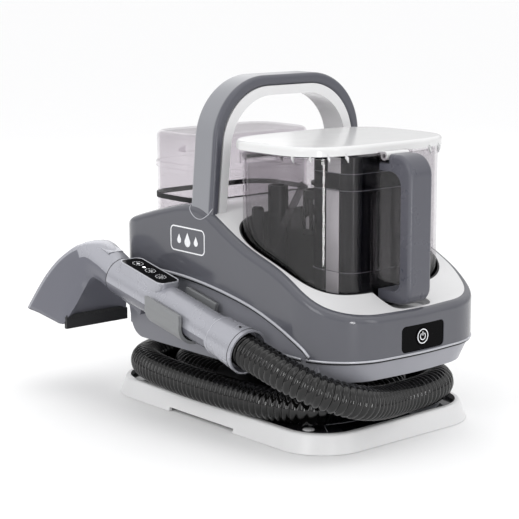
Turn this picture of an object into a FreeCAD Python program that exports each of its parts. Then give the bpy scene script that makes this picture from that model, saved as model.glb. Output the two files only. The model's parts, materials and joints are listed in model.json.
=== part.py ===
import FreeCAD, Part
import math
import os

# A portable spot extractor in millimetres.  +Z is up, the origin is the middle of the base's underside,
# the front with the power panel faces -Y, and the wand is docked along the -X side.

V = FreeCAD.Vector
X_AXIS, Y_AXIS, Z_AXIS = V(1, 0, 0), V(0, 1, 0), V(0, 0, 1)

# ---- driving dimensions -----------------------------------------------------------------------------
WALL = 3.0                      # moulded wall of the housings
TANK_WALL = 2.5                 # moulded wall of the tanks
GAP = 0.4                       # air between pieces that move against each other
FAR = 400.0                     # longer than anything here, for cutting tools

BASE_HALF_X, BASE_HALF_Y, BASE_R = 113.5, 170.5, 52.0
BASE_TOP_INSET = 6.0            # the tray's sides lean in by this much
BASE_H = 18.5
TRAY_FLOOR_Z = 10.5             # top of the tray's floor, where the smoky insert lies
INSERT_T = 3.0
RIM_W = 5.0
FOOT_R, FOOT_H = 11.0, 6.0
FOOT_X, FOOT_Y = 72.0, 126.0
NOTCH_X, NOTCH_Y0, NOTCH_Y1, NOTCH_H = -100.0, -48.0, 52.0, 4.5    # finger notch in the near side
COVER_HALF_X, COVER_HALF_Y = 62.0, 100.0
COVER_SCREW_X, COVER_SCREW_Y, SCREW_R, SCREW_HEAD_R = 54.0, 88.0, 2.0, 3.6

HULL_FRONT, HULL_REAR = -187.0, 157.0
HULL_HALF_X, HULL_REAR_HALF_X = 106.0, 101.0
HULL_FRONT_R, HULL_REAR_R = 62.0, 38.0
SKIRT_Z0, PART_LINE_Z = 67.0, 88.0
SKIRT_INSET, STEP_INSET = 11.0, 1.5
HULL_TOP_Z = 230.0
SHOULDER_R = 7.0
DECK_LINE = [(175, 172), (131, 187), (63, 206), (15, 211), (-20, 196), (-60, 178), (-100, 165),
             (-130, 150), (-150, 139), (-170, 132), (-200, 127)]      # (y, z) of the sloping top
TRIM_INSET, TRIM_T = 7.0, 3.0
TRIM_REAR_Y = 34.0
DOCK_LINE = [(-150, 84), (-132, 101), (-80, 121), (-26, 132), (30, 138), (81, 139), (180, 139)]
RECESS_X = -93.0                # depth of the dock recess in the near side

ARCH_FRONT, ARCH_REAR = -3.0, 30.0
ARCH_TOP, ARCH_FOOT_Z = 335.0, 196.0
ARCH_HALF_FOOT, ARCH_HALF_TOP, ARCH_R = 102.0, 90.0, 64.0
ARCH_SHELL_T, ARCH_LINER_T = 10.5, 9.0

TANK_HALF_X, TANK_HALF_Y, TANK_Y = 92.0, 66.5, -77.0
TANK_N = 3.6                    # exponent of the tank's squared-off oval plan
TANK_Z0, TANK_Z1 = 126.0, 268.0
LID_HALF_X, LID_HALF_Y, LID_Y = 98.0, 68.5, -75.5
LID_Z0, LID_Z1 = 270.5, 279.0
BAY_CLEAR, BAY_T = 1.5, 1.5
CHAMBER_HALF_X, CHAMBER_Y0, CHAMBER_Y1, CHAMBER_R = 42.0, -134.0, -75.0, 16.0
CHAMBER_Z1, CHAMBER_T = 251.0, 2.0
FLANGE_W, FLANGE_T, FLANGE_DROP = 3.0, 3.0, 14.0     # the chamber's flange, below its top
FLOAT_X, FLOAT_Y, FLOAT_Z0 = 0.0, -40.0, 186.0
FLOAT_R, FLOAT_H = 9.4, 14.0
CAGE_R, CAGE_T, CAGE_H, CAGE_BELOW = 12.0, 2.0, 44.0, 6.0
HANDLE_HALF_X, HANDLE_Y0, HANDLE_Y1 = 14.5, -185.0, -172.0
HANDLE_Z0, HANDLE_Z1 = 131.0, 270.5
HANDLE_TOP_T, HANDLE_FOOT_T = 16.0, 12.0
POCKET_HALF, POCKET_R, POCKET_Y, POCKET_T = 24.0, 10.0, -156.0, 1.5   # scoop under the handle's foot
LID_HINGE_Y, LID_HINGE_Z, PIN_R = -150.0, 268.0, 2.0
LID_KNUCKLE_R, LID_KNUCKLE_HALF_X, LID_EAR_X = 4.0, 15.0, 17.0
PIN_PLAY = 0.05

CLEAN_HALF_X, CLEAN_Y0, CLEAN_Y1, CLEAN_R = 78.0, 40.0, 133.0, 30.0
CLEAN_Z0, CLEAN_Z1 = 178.0, 244.0
CLEAN_LID_Z1 = 275.0
CLEAN_PIN_Y, CLEAN_PIN_Z = 41.5, 251.0
CLEAN_BAY_T = 2.0
CLEAN_EAR_X, CLEAN_KNUCKLE_HALF_X, CLEAN_KNUCKLE_R = 24.0, 22.0, 3.6
CLEAN_LIP, CLEAN_LIP_HALF_X = 12.0, 26.0             # the pull lip at the lid's rear edge

PEDESTAL_HALF_X, PEDESTAL_HALF_Y, PEDESTAL_R = 40.0, 92.0, 36.0

HOSE_R, HOSE_BORE_R = 16.0, 13.0
HOSE_Z, INNER_Z = 34.8, 30.6    # height of the hose's middle on the tray's rim and inside it
HOSE_ROUTE = [(-125, -86.4, 88.9), (-125, -106, 84.8), (-122, -140, 75), (-107, -167, 63), (-75, -179, 51),
              (-38, -169, 41), (4, -155, 35.5), (46, -150, HOSE_Z), (83, -136, HOSE_Z), (98, -100, HOSE_Z),
              (101, -52, HOSE_Z), (98, 0, HOSE_Z), (100, 52, HOSE_Z), (98, 100, HOSE_Z), (82, 137, HOSE_Z),
              (46, 152, HOSE_Z), (0, 150, HOSE_Z), (-46, 152, HOSE_Z), (-83, 136, HOSE_Z),
              (-99, 100, HOSE_Z), (-105, 52, HOSE_Z), (-107, 4, HOSE_Z), (-104, -46, HOSE_Z),
              (-98, -90, HOSE_Z), (-80, -124, 33), (-44, -121, INNER_Z), (0, -114, INNER_Z),
              (40, -113, INNER_Z), (62, -86, INNER_Z), (64, -44, INNER_Z), (62, 0, INNER_Z),
              (64, 44, INNER_Z), (62, 87, INNER_Z), (38, 114, INNER_Z), (0, 113, INNER_Z),
              (-38, 114, INNER_Z), (-62, 87, INNER_Z), (-63, 52, INNER_Z), (-63, 22, INNER_Z)]

WAND_SEAM = V(-125, 113, 131)   # where the nozzle meets the grip, on the wand's axis
WAND_TILT = 11.92               # degrees that the wand rises towards the rear
WAND_LEN, CUFF_LEN = 160.0, 43.5
WAND_R0, WAND_R1 = 19.0, 17.5
CUFF_R0, CUFF_R1 = 18.0, 21.8
SHELL_SPLIT_H = -3.0            # the grip's two shells meet just below its axis
PANEL_S0, PANEL_S1, PANEL_HALF_X = -78.0, -11.0, 12.0
PANEL_H, SADDLE_H = 22.4, 21.8  # top of the black panel, and of the saddle round it, above the axis
BUTTON_R, BUTTON_S = 6.5, (-63.0, -45.5, -24.5)
CUFF_RECESS_R, CUFF_RECESS = 19.9, 12.0     # the hollow inside the cuff's mouth
TRIGGER_S, TRIGGER_H, TRIGGER_PIN_R = -12.0, -16.0, 1.5
CRADLE_S0, CRADLE_S1, CRADLE_T = -127.0, -72.0, 3.4
CRADLE_NEAR_H, CRADLE_FAR_H, CRADLE_FLARE = 10.0, 16.0, 1.6
BRACKET_X = -107.0              # outer face of the dock's bracket

MOUTH_HALF_X = 42.0
HOOD_T, SPINE_T, SPINE_HALF_X = 2.5, 2.0, 10.0
LATCH_HALF_X, LATCH_Y0, LATCH_Y1 = 9.0, 122.0, 142.0

POWER_Z, POWER_HALF_X, POWER_HALF_Z, POWER_R = 103.0, 28.0, 12.5, 5.0
POWER_BUTTON_R = 8.5
PANEL_Y = HULL_FRONT - 1.0      # front face of the power panel
GRILLE_Z0, GRILLE_Z1, GRILLE_HALF_X = 100.0, 138.0, 36.0
SLOT_H, SLOT_PITCH, SLOTS = 2.6, 5.6, 6
GLAND_X, GLAND_Z, GLAND_R, GLAND_BORE_R = 60.0, 106.0, 7.0, 3.8

MOTOR_X, MOTOR_Y, MOTOR_Z0 = 0.0, 66.0, 78.0
MOTOR_R, MOTOR_H = 36.0, 62.0
STATOR_R, STATOR_BORE_R, STATOR_H = 24.0, 15.0, 30.0
ROTOR_R, SHAFT_R, SHAFT_H = 14.0, 3.0, 56.0
FAN_R, FAN_Z, FAN_BLADES = 30.0, 118.0, 9
PUMP = V(60.0, 20.0, 96.0)
PUMP_HALF, PUMP_HALF_Y, PUMP_BORE_R = 14.0, 22.0, 6.0
DUCT_X, DUCT_Y, DUCT_R = 30.0, -24.0, 14.0
RISER_X, RISER_Y, RISER_R = -34.0, -24.0, 14.0
PORT_Y = -8.0
VALVE_RISE = 1.4                # the valve's body stays this far above the tank's underside
VALVE_X, VALVE_Y, VALVE_R = 40.0, 70.0, 6.0


# ---- general helpers --------------------------------------------------------------------------------
def box(x0, x1, y0, y1, z0, z1):
    return Part.makeBox(x1 - x0, y1 - y0, z1 - z0, V(x0, y0, z0))


def cyl(radius, start, direction, height):
    return Part.makeCylinder(radius, height, start, direction)


def tube(outer, inner, start, direction, height):
    return cyl(outer, start, direction, height).cut(cyl(inner, start, direction, height))


def rounded_wire(points, radii, closed=True):
    """Straight runs between points, joined by tangent arcs of the given radii."""
    pts = [V(*p) for p in points]
    count = len(pts)
    corners = []
    for i in range(count):
        if not closed and i in (0, count - 1):
            corners.append((pts[i], None, pts[i]))
            continue
        back, ahead = (pts[i - 1] - pts[i]).normalize(), (pts[(i + 1) % count] - pts[i]).normalize()
        half_turn = (math.pi - back.getAngle(ahead)) / 2
        setback = radii[i] * math.tan(half_turn)
        inward = (back + ahead).normalize()
        middle = pts[i] + inward * (radii[i] / math.cos(half_turn) - radii[i])
        corners.append((pts[i] + back * setback, middle, pts[i] + ahead * setback))
    edges = []
    for i, (start, middle, end) in enumerate(corners):
        if middle is not None:
            edges.append(Part.Arc(start, middle, end).toShape())
        if i < count - 1 or closed:
            nxt = corners[(i + 1) % count][0]
            if (nxt - end).Length > 1e-4:
                edges.append(Part.LineSegment(end, nxt).toShape())
    return Part.Wire(edges)


def prism(wire, direction):
    return Part.Face(wire).extrude(direction)


def rect_wire(half_x, half_y, radius, z, y=0.0, x=0.0):
    corners = [(x - half_x, y - half_y, z), (x + half_x, y - half_y, z),
               (x + half_x, y + half_y, z), (x - half_x, y + half_y, z)]
    return rounded_wire(corners, [radius] * 4)


def rect_prism(half_x, half_y, radius, z0, z1, y=0.0, x=0.0):
    return prism(rect_wire(half_x, half_y, radius, z0, y, x), V(0, 0, z1 - z0))


def oval_wire(half_x, half_y, y, z, power, count=40):
    """A squared-off oval, |x/a|^n + |y/b|^n = 1, as one smooth closed curve."""
    points = []
    for i in range(count):
        angle = 2 * math.pi * i / count
        c, s = math.cos(angle), math.sin(angle)
        px = half_x * math.copysign(abs(c) ** (2 / power), c)
        py = half_y * math.copysign(abs(s) ** (2 / power), s)
        points.append(V(px, y + py, z))
    curve = Part.BSplineCurve()
    curve.interpolate(Points=points, PeriodicFlag=True)
    return Part.Wire([curve.toShape()])


def oval_prism(half_x, half_y, y, z0, z1, power=TANK_N):
    return prism(oval_wire(half_x, half_y, y, z0, power), V(0, 0, z1 - z0))


def side_prism(points_yz, x0, x1):
    """A flat outline in the YZ plane, carried from x0 to x1."""
    wire = Part.makePolygon([V(x0, y, z) for y, z in points_yz] + [V(x0, *points_yz[0])])
    return prism(wire, V(x1 - x0, 0, 0))


def under_curve(points_yz, x0, x1, floor_z):
    """What lies under a smooth curve in the YZ plane, from x0 to x1."""
    curve = Part.BSplineCurve()
    curve.interpolate([V(x0, y, z) for y, z in points_yz])
    first, last = points_yz[0], points_yz[-1]
    low = Part.makePolygon([V(x0, *last), V(x0, last[0], floor_z), V(x0, first[0], floor_z), V(x0, *first)])
    return prism(Part.Wire([curve.toShape()] + low.Edges), V(x1 - x0, 0, 0))


def soften(shape, radius, keep):
    """Round the edges that keep() picks; an edge that takes no fillet stays sharp."""
    edges = [e for e in shape.Edges if keep(e)]
    try:
        done = shape.makeFillet(radius, edges)
        if done.isValid() and done.Volume > 0:
            return done
    except Exception:
        pass
    return shape


def on_wand(shape):
    """Move a piece from the wand's own frame (Y along its axis, Z up) to where the wand is docked."""
    placed = shape.copy()
    placed.rotate(V(0, 0, 0), X_AXIS, WAND_TILT)
    placed.translate(WAND_SEAM)
    return placed


# ---- base -------------------------------------------------------------------------------------------
def base_tray():
    top = rect_wire(BASE_HALF_X - BASE_TOP_INSET, BASE_HALF_Y - BASE_TOP_INSET, BASE_R - 4, BASE_H)
    body = Part.makeLoft([rect_wire(BASE_HALF_X, BASE_HALF_Y, BASE_R, 0.5), top], True, True)
    body = soften(body, 3.0, lambda e: e.BoundBox.ZMin > BASE_H - 0.1)
    body = body.cut(tray_hollow(TRAY_FLOOR_Z, FAR))
    under, ceiling = WALL + 1, TRAY_FLOOR_Z - WALL
    body = body.cut(rect_prism(BASE_HALF_X - under, BASE_HALF_Y - under, BASE_R - under, 0, ceiling))
    body = body.cut(box(-FAR, NOTCH_X, NOTCH_Y0, NOTCH_Y1, 0, NOTCH_H))
    for x, y in foot_spots():
        body = body.fuse(cyl(FOOT_R + WALL, V(x, y, WALL), Z_AXIS, TRAY_FLOOR_Z - 4))
        body = body.cut(cyl(FOOT_R, V(x, y, 0), Z_AXIS, FOOT_H))
    for x, y in cover_screw_spots():
        body = body.cut(cyl(SCREW_R, V(x, y, 0), Z_AXIS, 9.0))
    return body.removeSplitter()


def tray_hollow(z0, z1):
    edge = BASE_TOP_INSET + RIM_W
    return rect_prism(BASE_HALF_X - edge, BASE_HALF_Y - edge, BASE_R - edge, z0, z1)


def foot_spots():
    return [(0, 0)] + [(sx * FOOT_X, sy * FOOT_Y) for sx in (-1, 1) for sy in (-1, 1)]


def rubber_feet():
    feet = [cyl(FOOT_R, V(x, y, 0), Z_AXIS, FOOT_H) for x, y in foot_spots()]
    return Part.makeCompound([soften(f, 1.0, lambda e: e.BoundBox.ZMax < 0.1) for f in feet])


def base_insert():
    plate = tray_hollow(TRAY_FLOOR_Z, TRAY_FLOOR_Z + INSERT_T)
    return plate.cut(rect_prism(PEDESTAL_HALF_X, PEDESTAL_HALF_Y, PEDESTAL_R, 0, FAR))


def bottom_cover():
    plate = rect_prism(COVER_HALF_X, COVER_HALF_Y, 20, 3.0, 5.5)
    for x, y in foot_spots():
        plate = plate.cut(cyl(FOOT_R + WALL, V(x, y, 0), Z_AXIS, FAR))
    for x, y in cover_screw_spots():
        plate = plate.cut(cyl(SCREW_R, V(x, y, 0), Z_AXIS, FAR))
    for i in range(-3, 4):
        plate = plate.cut(box(-18, 18, i * 7 + 48, i * 7 + 51, 0, 10))
    return plate


def cover_screw_spots():
    return [(sx * COVER_SCREW_X, sy * COVER_SCREW_Y) for sx in (-1, 1) for sy in (-1, 1)]


def housing_screws():
    screws = []
    for x, y in cover_screw_spots():
        head = cyl(SCREW_HEAD_R, V(x, y, 1.0), Z_AXIS, 2.0)
        screws.append(head.fuse(cyl(SCREW_R, V(x, y, 2.9), Z_AXIS, 6.0)))
    return Part.makeCompound(screws)


def pedestal():
    z0, z1 = TRAY_FLOOR_Z, SKIRT_Z0 + 4
    body = rect_prism(PEDESTAL_HALF_X, PEDESTAL_HALF_Y, PEDESTAL_R, z0, z1)
    inner_x, inner_y = PEDESTAL_HALF_X - WALL, PEDESTAL_HALF_Y - WALL
    body = body.cut(rect_prism(inner_x, inner_y, PEDESTAL_R - WALL, z0 + WALL, FAR))
    return body.cut(cyl(HOSE_R - 2, V(-60, PORT_Y, INNER_Z), X_AXIS, 40))


# ---- housings ---------------------------------------------------------------------------------------
def hull_wire(inset, z):
    corners = [(-HULL_HALF_X, HULL_FRONT + 4, z), (0, HULL_FRONT - 4, z), (HULL_HALF_X, HULL_FRONT + 4, z),
               (HULL_REAR_HALF_X, HULL_REAR, z), (-HULL_REAR_HALF_X, HULL_REAR, z)]
    wire = rounded_wire(corners, [HULL_FRONT_R, 300, HULL_FRONT_R, HULL_REAR_R, HULL_REAR_R])
    return wire.makeOffset2D(-inset) if inset else wire


def hull(inset, drop, z0=PART_LINE_Z):
    """The upper body as one solid, drawn in by inset at the sides and lowered by drop at the top."""
    body = prism(hull_wire(inset, z0), V(0, 0, HULL_TOP_Z - z0))
    return body.common(under_curve([(y, z - drop) for y, z in DECK_LINE], -FAR, FAR, 0))


def hull_outer():
    body = hull(0, 0)
    return soften(body, SHOULDER_R, lambda e: e.BoundBox.ZMin > PART_LINE_Z + 20 and e.Length > 12)


def dock_recess(x0, x1):
    return under_curve(DOCK_LINE, x0, x1, 60)


def tank_opening(grow, z0=TANK_Z0):
    return oval_prism(TANK_HALF_X + grow, TANK_HALF_Y + grow, TANK_Y, z0, FAR)


def clean_opening(grow, z0=CLEAN_Z0):
    middle, half = (CLEAN_Y0 + CLEAN_Y1) / 2, (CLEAN_Y1 - CLEAN_Y0) / 2
    return rect_prism(CLEAN_HALF_X + grow, half + grow, CLEAN_R + grow, z0, FAR, middle)


def bay_blank(z0):
    return tank_opening(BAY_CLEAR + BAY_T, z0)


def handle_pocket(grow, z0):
    """The hollow in the front deck that the tank handle's foot and a finger go into."""
    return rect_prism(POCKET_HALF + grow, POCKET_HALF + grow, POCKET_R + grow, z0, FAR, y=POCKET_Y)


def trim_zone():
    slab = hull(TRIM_INSET, 0).cut(hull(0, TRIM_T))
    return slab.common(box(-FAR, FAR, -FAR, TRIM_REAR_Y, 0, FAR))


def upper_housing(outer):
    body = outer.cut(hull(WALL, WALL))
    body = body.cut(trim_zone())
    body = body.cut(bay_blank(TANK_Z0 - 5)).cut(clean_opening(BAY_CLEAR + CLEAN_BAY_T, CLEAN_Z0 - 5))
    body = body.cut(dock_recess(-FAR, RECESS_X))
    body = body.cut(panel_pocket())
    body = body.cut(handle_pocket(POCKET_T, TANK_Z0 - POCKET_T))
    body = body.cut(grille_window())
    return body.cut(cyl(GLAND_R, V(GLAND_X, HULL_REAR - 20, GLAND_Z), Y_AXIS, 40)).removeSplitter()


def skirt_blank(shrink):
    foot = hull_wire(SKIRT_INSET + shrink, SKIRT_Z0 + shrink)
    return Part.makeLoft([foot, hull_wire(STEP_INSET + shrink, PART_LINE_Z)], True, True)


def lower_housing():
    skirt = skirt_blank(0).cut(skirt_blank(WALL))
    panel = dock_recess(RECESS_X - WALL, RECESS_X).common(prism(hull_wire(0, SKIRT_Z0 + 8), V(0, 0, 100)))
    body = skirt.fuse(panel)
    body = body.cut(box(-FAR, RECESS_X - WALL, -100, FAR, SKIRT_Z0 + 14, PART_LINE_Z))
    pedestal_room = rect_prism(PEDESTAL_HALF_X, PEDESTAL_HALF_Y, PEDESTAL_R, 0, SKIRT_Z0 + 4)
    return body.cut(bay_blank(TANK_Z0 - 5)).cut(pedestal_room).removeSplitter()


def deck_trim():
    """The white band that runs round the dirty tank and back under the arch."""
    body = trim_zone().cut(bay_blank(TANK_Z0 - 5)).cut(clean_opening(BAY_CLEAR + CLEAN_BAY_T))
    return largest(body.cut(handle_pocket(POCKET_T, TANK_Z0 - POCKET_T)))


def largest(shape):
    return max(shape.Solids, key=lambda s: s.Volume)


def tank_bay():
    """The dark tub that the dirty tank stands in, with a scoop in front for the handle's foot."""
    outside = bay_blank(TANK_Z0 - 4).fuse(handle_pocket(POCKET_T, TANK_Z0 - POCKET_T))
    inside = tank_opening(BAY_CLEAR, TANK_Z0 - 1.5).fuse(handle_pocket(0, TANK_Z0))
    cup = outside.cut(inside).common(hull(0, 0, TANK_Z0 - 10))
    cup = cup.cut(cyl(DUCT_R, V(DUCT_X, DUCT_Y, 100), Z_AXIS, 60))
    return cup.cut(cyl(RISER_R, V(RISER_X, RISER_Y, 100), Z_AXIS, 60)).removeSplitter()


def clean_bay():
    cup = clean_opening(BAY_CLEAR + CLEAN_BAY_T, CLEAN_Z0 - 4).cut(clean_opening(BAY_CLEAR, CLEAN_Z0 - 1))
    cup = cup.common(hull(0, 0))
    cup = cup.fuse(cyl(VALVE_R + 1, V(VALVE_X, VALVE_Y, CLEAN_Z0 - 12), Z_AXIS, 10))
    return cup.cut(cyl(VALVE_R - 2.5, V(VALVE_X, VALVE_Y, CLEAN_Z0 - 20), Z_AXIS, 40))


# ---- carry arch -------------------------------------------------------------------------------------
def arch_solid(shrink, y0, y1):
    top, foot = ARCH_HALF_TOP - shrink, ARCH_HALF_FOOT - shrink
    corners = [(-foot, y0, ARCH_FOOT_Z), (-top, y0, ARCH_TOP - shrink), (top, y0, ARCH_TOP - shrink),
               (foot, y0, ARCH_FOOT_Z)]
    radius = ARCH_R - shrink * 0.6
    return prism(rounded_wire(corners, [0.01, radius, radius, 0.01]), V(0, y1 - y0, 0))


def arch_shell(outer):
    ring = arch_solid(0, ARCH_FRONT, ARCH_REAR).cut(arch_solid(ARCH_SHELL_T, ARCH_FRONT - 1, ARCH_REAR + 1))
    ring = ring.cut(box(-FAR, FAR, -FAR, FAR, 0, ARCH_FOOT_Z + 1))
    ring = soften(ring, 4.0, lambda e: e.BoundBox.ZMax > 250 and e.BoundBox.YLength < 0.1 and
                  max(abs(e.BoundBox.XMin), e.BoundBox.XMax) > ARCH_HALF_TOP - 1)
    return Part.makeCompound(ring.cut(outer).Solids)


def arch_liner(outer):
    inset = 2.0
    ring = arch_solid(ARCH_SHELL_T, ARCH_FRONT + 0.5, ARCH_REAR - inset)
    ring = ring.cut(arch_solid(ARCH_SHELL_T + ARCH_LINER_T, ARCH_FRONT - 1, ARCH_REAR + 1))
    ring = ring.cut(box(-FAR, FAR, -FAR, FAR, 0, ARCH_FOOT_Z + 1))
    return Part.makeCompound(ring.cut(outer).cut(clean_bay()).Solids)


# ---- power panel, grille and gland ------------------------------------------------------------------
def front_block(half_x, half_z, radius, y0, y1):
    corners = [(-half_x, y0, POWER_Z - half_z), (half_x, y0, POWER_Z - half_z),
               (half_x, y0, POWER_Z + half_z), (-half_x, y0, POWER_Z + half_z)]
    return prism(rounded_wire(corners, [radius] * 4), V(0, y1 - y0, 0))


def panel_pocket():
    return front_block(POWER_HALF_X, POWER_HALF_Z, POWER_R, HULL_FRONT - 10, HULL_FRONT + 8)


def power_panel():
    plate = front_block(POWER_HALF_X, POWER_HALF_Z, POWER_R, PANEL_Y, HULL_FRONT + 5)
    return plate.cut(cyl(POWER_BUTTON_R + GAP, V(0, PANEL_Y - 1, POWER_Z), Y_AXIS, 20))


def power_button():
    cap = cyl(POWER_BUTTON_R, V(0, PANEL_Y - 0.6, POWER_Z), Y_AXIS, 4.0)
    return cap.fuse(cyl(3.0, V(0, PANEL_Y, POWER_Z), Y_AXIS, 7.0))


def control_board():
    board = box(-26, 26, PANEL_Y + 10, PANEL_Y + 11.6, POWER_Z - 11, POWER_Z + 13)
    chips = [box(x, x + 8, PANEL_Y + 11.6, PANEL_Y + 15, POWER_Z - 4, POWER_Z + 4) for x in (-22, -6, 10)]
    for chip in chips:
        board = board.fuse(chip)
    return board


def grille_window():
    return box(-GRILLE_HALF_X, GRILLE_HALF_X, HULL_REAR - 12, HULL_REAR + 10, GRILLE_Z0, GRILLE_Z1)


def rear_grille():
    plate = box(-GRILLE_HALF_X, GRILLE_HALF_X, HULL_REAR - WALL, HULL_REAR, GRILLE_Z0, GRILLE_Z1)
    slot_half_x = GRILLE_HALF_X - 5
    for i in range(SLOTS):
        z = GRILLE_Z0 + 4 + i * SLOT_PITCH
        plate = plate.cut(box(-slot_half_x, slot_half_x, HULL_REAR - 10, HULL_REAR + 5, z, z + SLOT_H))
    return plate


def cord_gland():
    sleeve = cyl(GLAND_R, V(GLAND_X, HULL_REAR - 12, GLAND_Z), Y_AXIS, 15)
    flange = cyl(GLAND_R + 2.5, V(GLAND_X, HULL_REAR, GLAND_Z), Y_AXIS, 2)
    return sleeve.fuse(flange).cut(cyl(GLAND_BORE_R, V(GLAND_X, HULL_REAR - 20, GLAND_Z), Y_AXIS, 40))


# ---- dock -------------------------------------------------------------------------------------------
def dock_bracket():
    """The shelf beside the docked wand that carries its cradle and runs forward into the skirt."""
    depth = RECESS_X - WALL - BRACKET_X
    wire = rounded_wire([(BRACKET_X, -40, 66.5), (BRACKET_X, 118, 66.5), (BRACKET_X, 128, 106),
                         (BRACKET_X, 80, 100), (BRACKET_X, -8, 81), (BRACKET_X, -40, 72)],
                        [3, 20, 8, 30, 30, 2])
    shelf = prism(wire, V(depth, 0, 0))
    shelf = soften(shelf, 6.0, lambda e: e.BoundBox.XMax < BRACKET_X + 0.1 and e.BoundBox.YLength > 5)
    wand_room = on_wand(cyl(WAND_R0 + 2.5, V(0, -200, 0), Y_AXIS, 260))
    finger_room = on_wand(box(-9, 9, -56, 4, -30, 0))
    return largest(shelf.cut(wand_room).cut(finger_room).cut(skirt_blank(0)).cut(wand_cradle()))


def wand_cradle():
    """The U-shaped pad whose two flaps hold the wand; the near one leans outwards."""
    inner = WAND_R0 + 0.6
    outer = inner + CRADLE_T
    pad = tube(outer, inner, V(0, CRADLE_S0, 0), Y_AXIS, CRADLE_S1 - CRADLE_S0)
    pad = pad.common(box(-outer, outer, CRADLE_S0, CRADLE_S1, -FAR, 0))
    foot, top = -0.01, CRADLE_NEAR_H
    near = prism(Part.makePolygon([
        V(-inner, CRADLE_S0, foot), V(-inner - CRADLE_FLARE, CRADLE_S0, top),
        V(-outer - CRADLE_FLARE, CRADLE_S0, top), V(-outer, CRADLE_S0, foot), V(-inner, CRADLE_S0, foot)]),
        V(0, CRADLE_S1 - CRADLE_S0, 0))
    far = box(inner, outer, CRADLE_S0, CRADLE_S1 - 8, foot, CRADLE_FAR_H)
    pad = soften(pad.fuse(near).fuse(far), 1.2, lambda e: e.BoundBox.ZMin > CRADLE_NEAR_H - 1)
    return on_wand(pad)


# ---- motor, pump and ducts --------------------------------------------------------------------------
def motor_housing():
    can = tube(MOTOR_R, MOTOR_R - WALL, V(MOTOR_X, MOTOR_Y, MOTOR_Z0), Z_AXIS, MOTOR_H)
    floor = tube(MOTOR_R, 2 * SHAFT_R, V(MOTOR_X, MOTOR_Y, MOTOR_Z0), Z_AXIS, WALL)
    roof = tube(MOTOR_R, 10, V(MOTOR_X, MOTOR_Y, MOTOR_Z0 + MOTOR_H - WALL), Z_AXIS, WALL)
    return can.fuse(floor).fuse(roof)


def motor_stator():
    stack = tube(STATOR_R, STATOR_BORE_R, V(MOTOR_X, MOTOR_Y, MOTOR_Z0 + WALL), Z_AXIS, STATOR_H)
    return stack.fuse(tube(MOTOR_R - WALL, STATOR_R - 1, V(MOTOR_X, MOTOR_Y, MOTOR_Z0 + WALL), Z_AXIS, WALL))


def motor_mount():
    """The rubber cup between the motor's can and the floor of the housing."""
    sleeve = tube(MOTOR_R + 5, MOTOR_R, V(MOTOR_X, MOTOR_Y, MOTOR_Z0 - 4), Z_AXIS, 16)
    return sleeve.fuse(tube(MOTOR_R + 5, 12, V(MOTOR_X, MOTOR_Y, MOTOR_Z0 - 7), Z_AXIS, 7))


def motor_rotor():
    core = cyl(ROTOR_R, V(MOTOR_X, MOTOR_Y, MOTOR_Z0 + 5), Z_AXIS, STATOR_H - 4)
    return core.fuse(cyl(SHAFT_R, V(MOTOR_X, MOTOR_Y, MOTOR_Z0 + 1), Z_AXIS, SHAFT_H))


def fan_impeller():
    """A backing disc, a hub on the shaft and a ring of slanted blades."""
    disc_t, hub_r, blade_h = 1.6, 7.0, 12.0
    fan = tube(FAN_R, SHAFT_R, V(MOTOR_X, MOTOR_Y, FAN_Z), Z_AXIS, disc_t)
    fan = fan.fuse(tube(hub_r, SHAFT_R, V(MOTOR_X, MOTOR_Y, FAN_Z), Z_AXIS, blade_h))
    rim = cyl(FAN_R, V(MOTOR_X, MOTOR_Y, FAN_Z), Z_AXIS, blade_h + 1)
    for i in range(FAN_BLADES):
        blade = box(hub_r - 1, FAN_R - 0.5, -0.8, 0.8, FAN_Z + disc_t - 0.1, FAN_Z + blade_h)
        blade.rotate(V(hub_r - 1, 0, 0), Z_AXIS, 28)
        blade.rotate(V(0, 0, 0), Z_AXIS, i * 360 / FAN_BLADES)
        blade.translate(V(MOTOR_X, MOTOR_Y, 0))
        fan = fan.fuse(blade.common(rim))
    return fan


def pump_body():
    body = box(PUMP.x - PUMP_HALF, PUMP.x + PUMP_HALF, PUMP.y - PUMP_HALF_Y, PUMP.y + PUMP_HALF_Y,
               PUMP.z - PUMP_HALF, PUMP.z + PUMP_HALF)
    body = body.cut(cyl(PUMP_BORE_R, V(PUMP.x, PUMP.y - 30, PUMP.z), Y_AXIS, 44))
    return body.fuse(tube(3.5, 2.0, V(PUMP.x, PUMP.y, PUMP.z + 13.9), Z_AXIS, 10))


def pump_plunger():
    return cyl(PUMP_BORE_R - PIN_PLAY, V(PUMP.x, PUMP.y - 20, PUMP.z), Y_AXIS, 22).fuse(
        cyl(2.5, V(PUMP.x, PUMP.y - 30, PUMP.z), Y_AXIS, 12))


def solution_tube():
    route = [(VALVE_X, VALVE_Y, 166), (VALVE_X, VALVE_Y, 152), (50, 50, 146), (PUMP.x, PUMP.y + 6, 146),
             (PUMP.x, PUMP.y, 136), (PUMP.x, PUMP.y, PUMP.z + 24)]
    return sweep(route, 3.0, 1.8)[0]


def hose_port():
    """The elbow that takes the wound hose's inner end into the pedestal."""
    end = V(*HOSE_ROUTE[-1])
    sleeve = cyl(HOSE_R, V(end.x, PORT_Y, INNER_Z), Y_AXIS, end.y - PORT_Y)
    knee = Part.makeSphere(HOSE_R, V(end.x, PORT_Y, INNER_Z))
    branch = cyl(HOSE_R - 2, V(end.x, PORT_Y, INNER_Z), X_AXIS, -end.x - 30)
    bore = cyl(HOSE_BORE_R - 2, V(end.x, PORT_Y, INNER_Z), Y_AXIS, 60).fuse(
        Part.makeSphere(HOSE_BORE_R - 2, V(end.x, PORT_Y, INNER_Z))).fuse(
        cyl(HOSE_BORE_R - 2, V(end.x, PORT_Y, INNER_Z), X_AXIS, 60))
    return sleeve.fuse(knee).fuse(branch).cut(bore)


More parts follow.
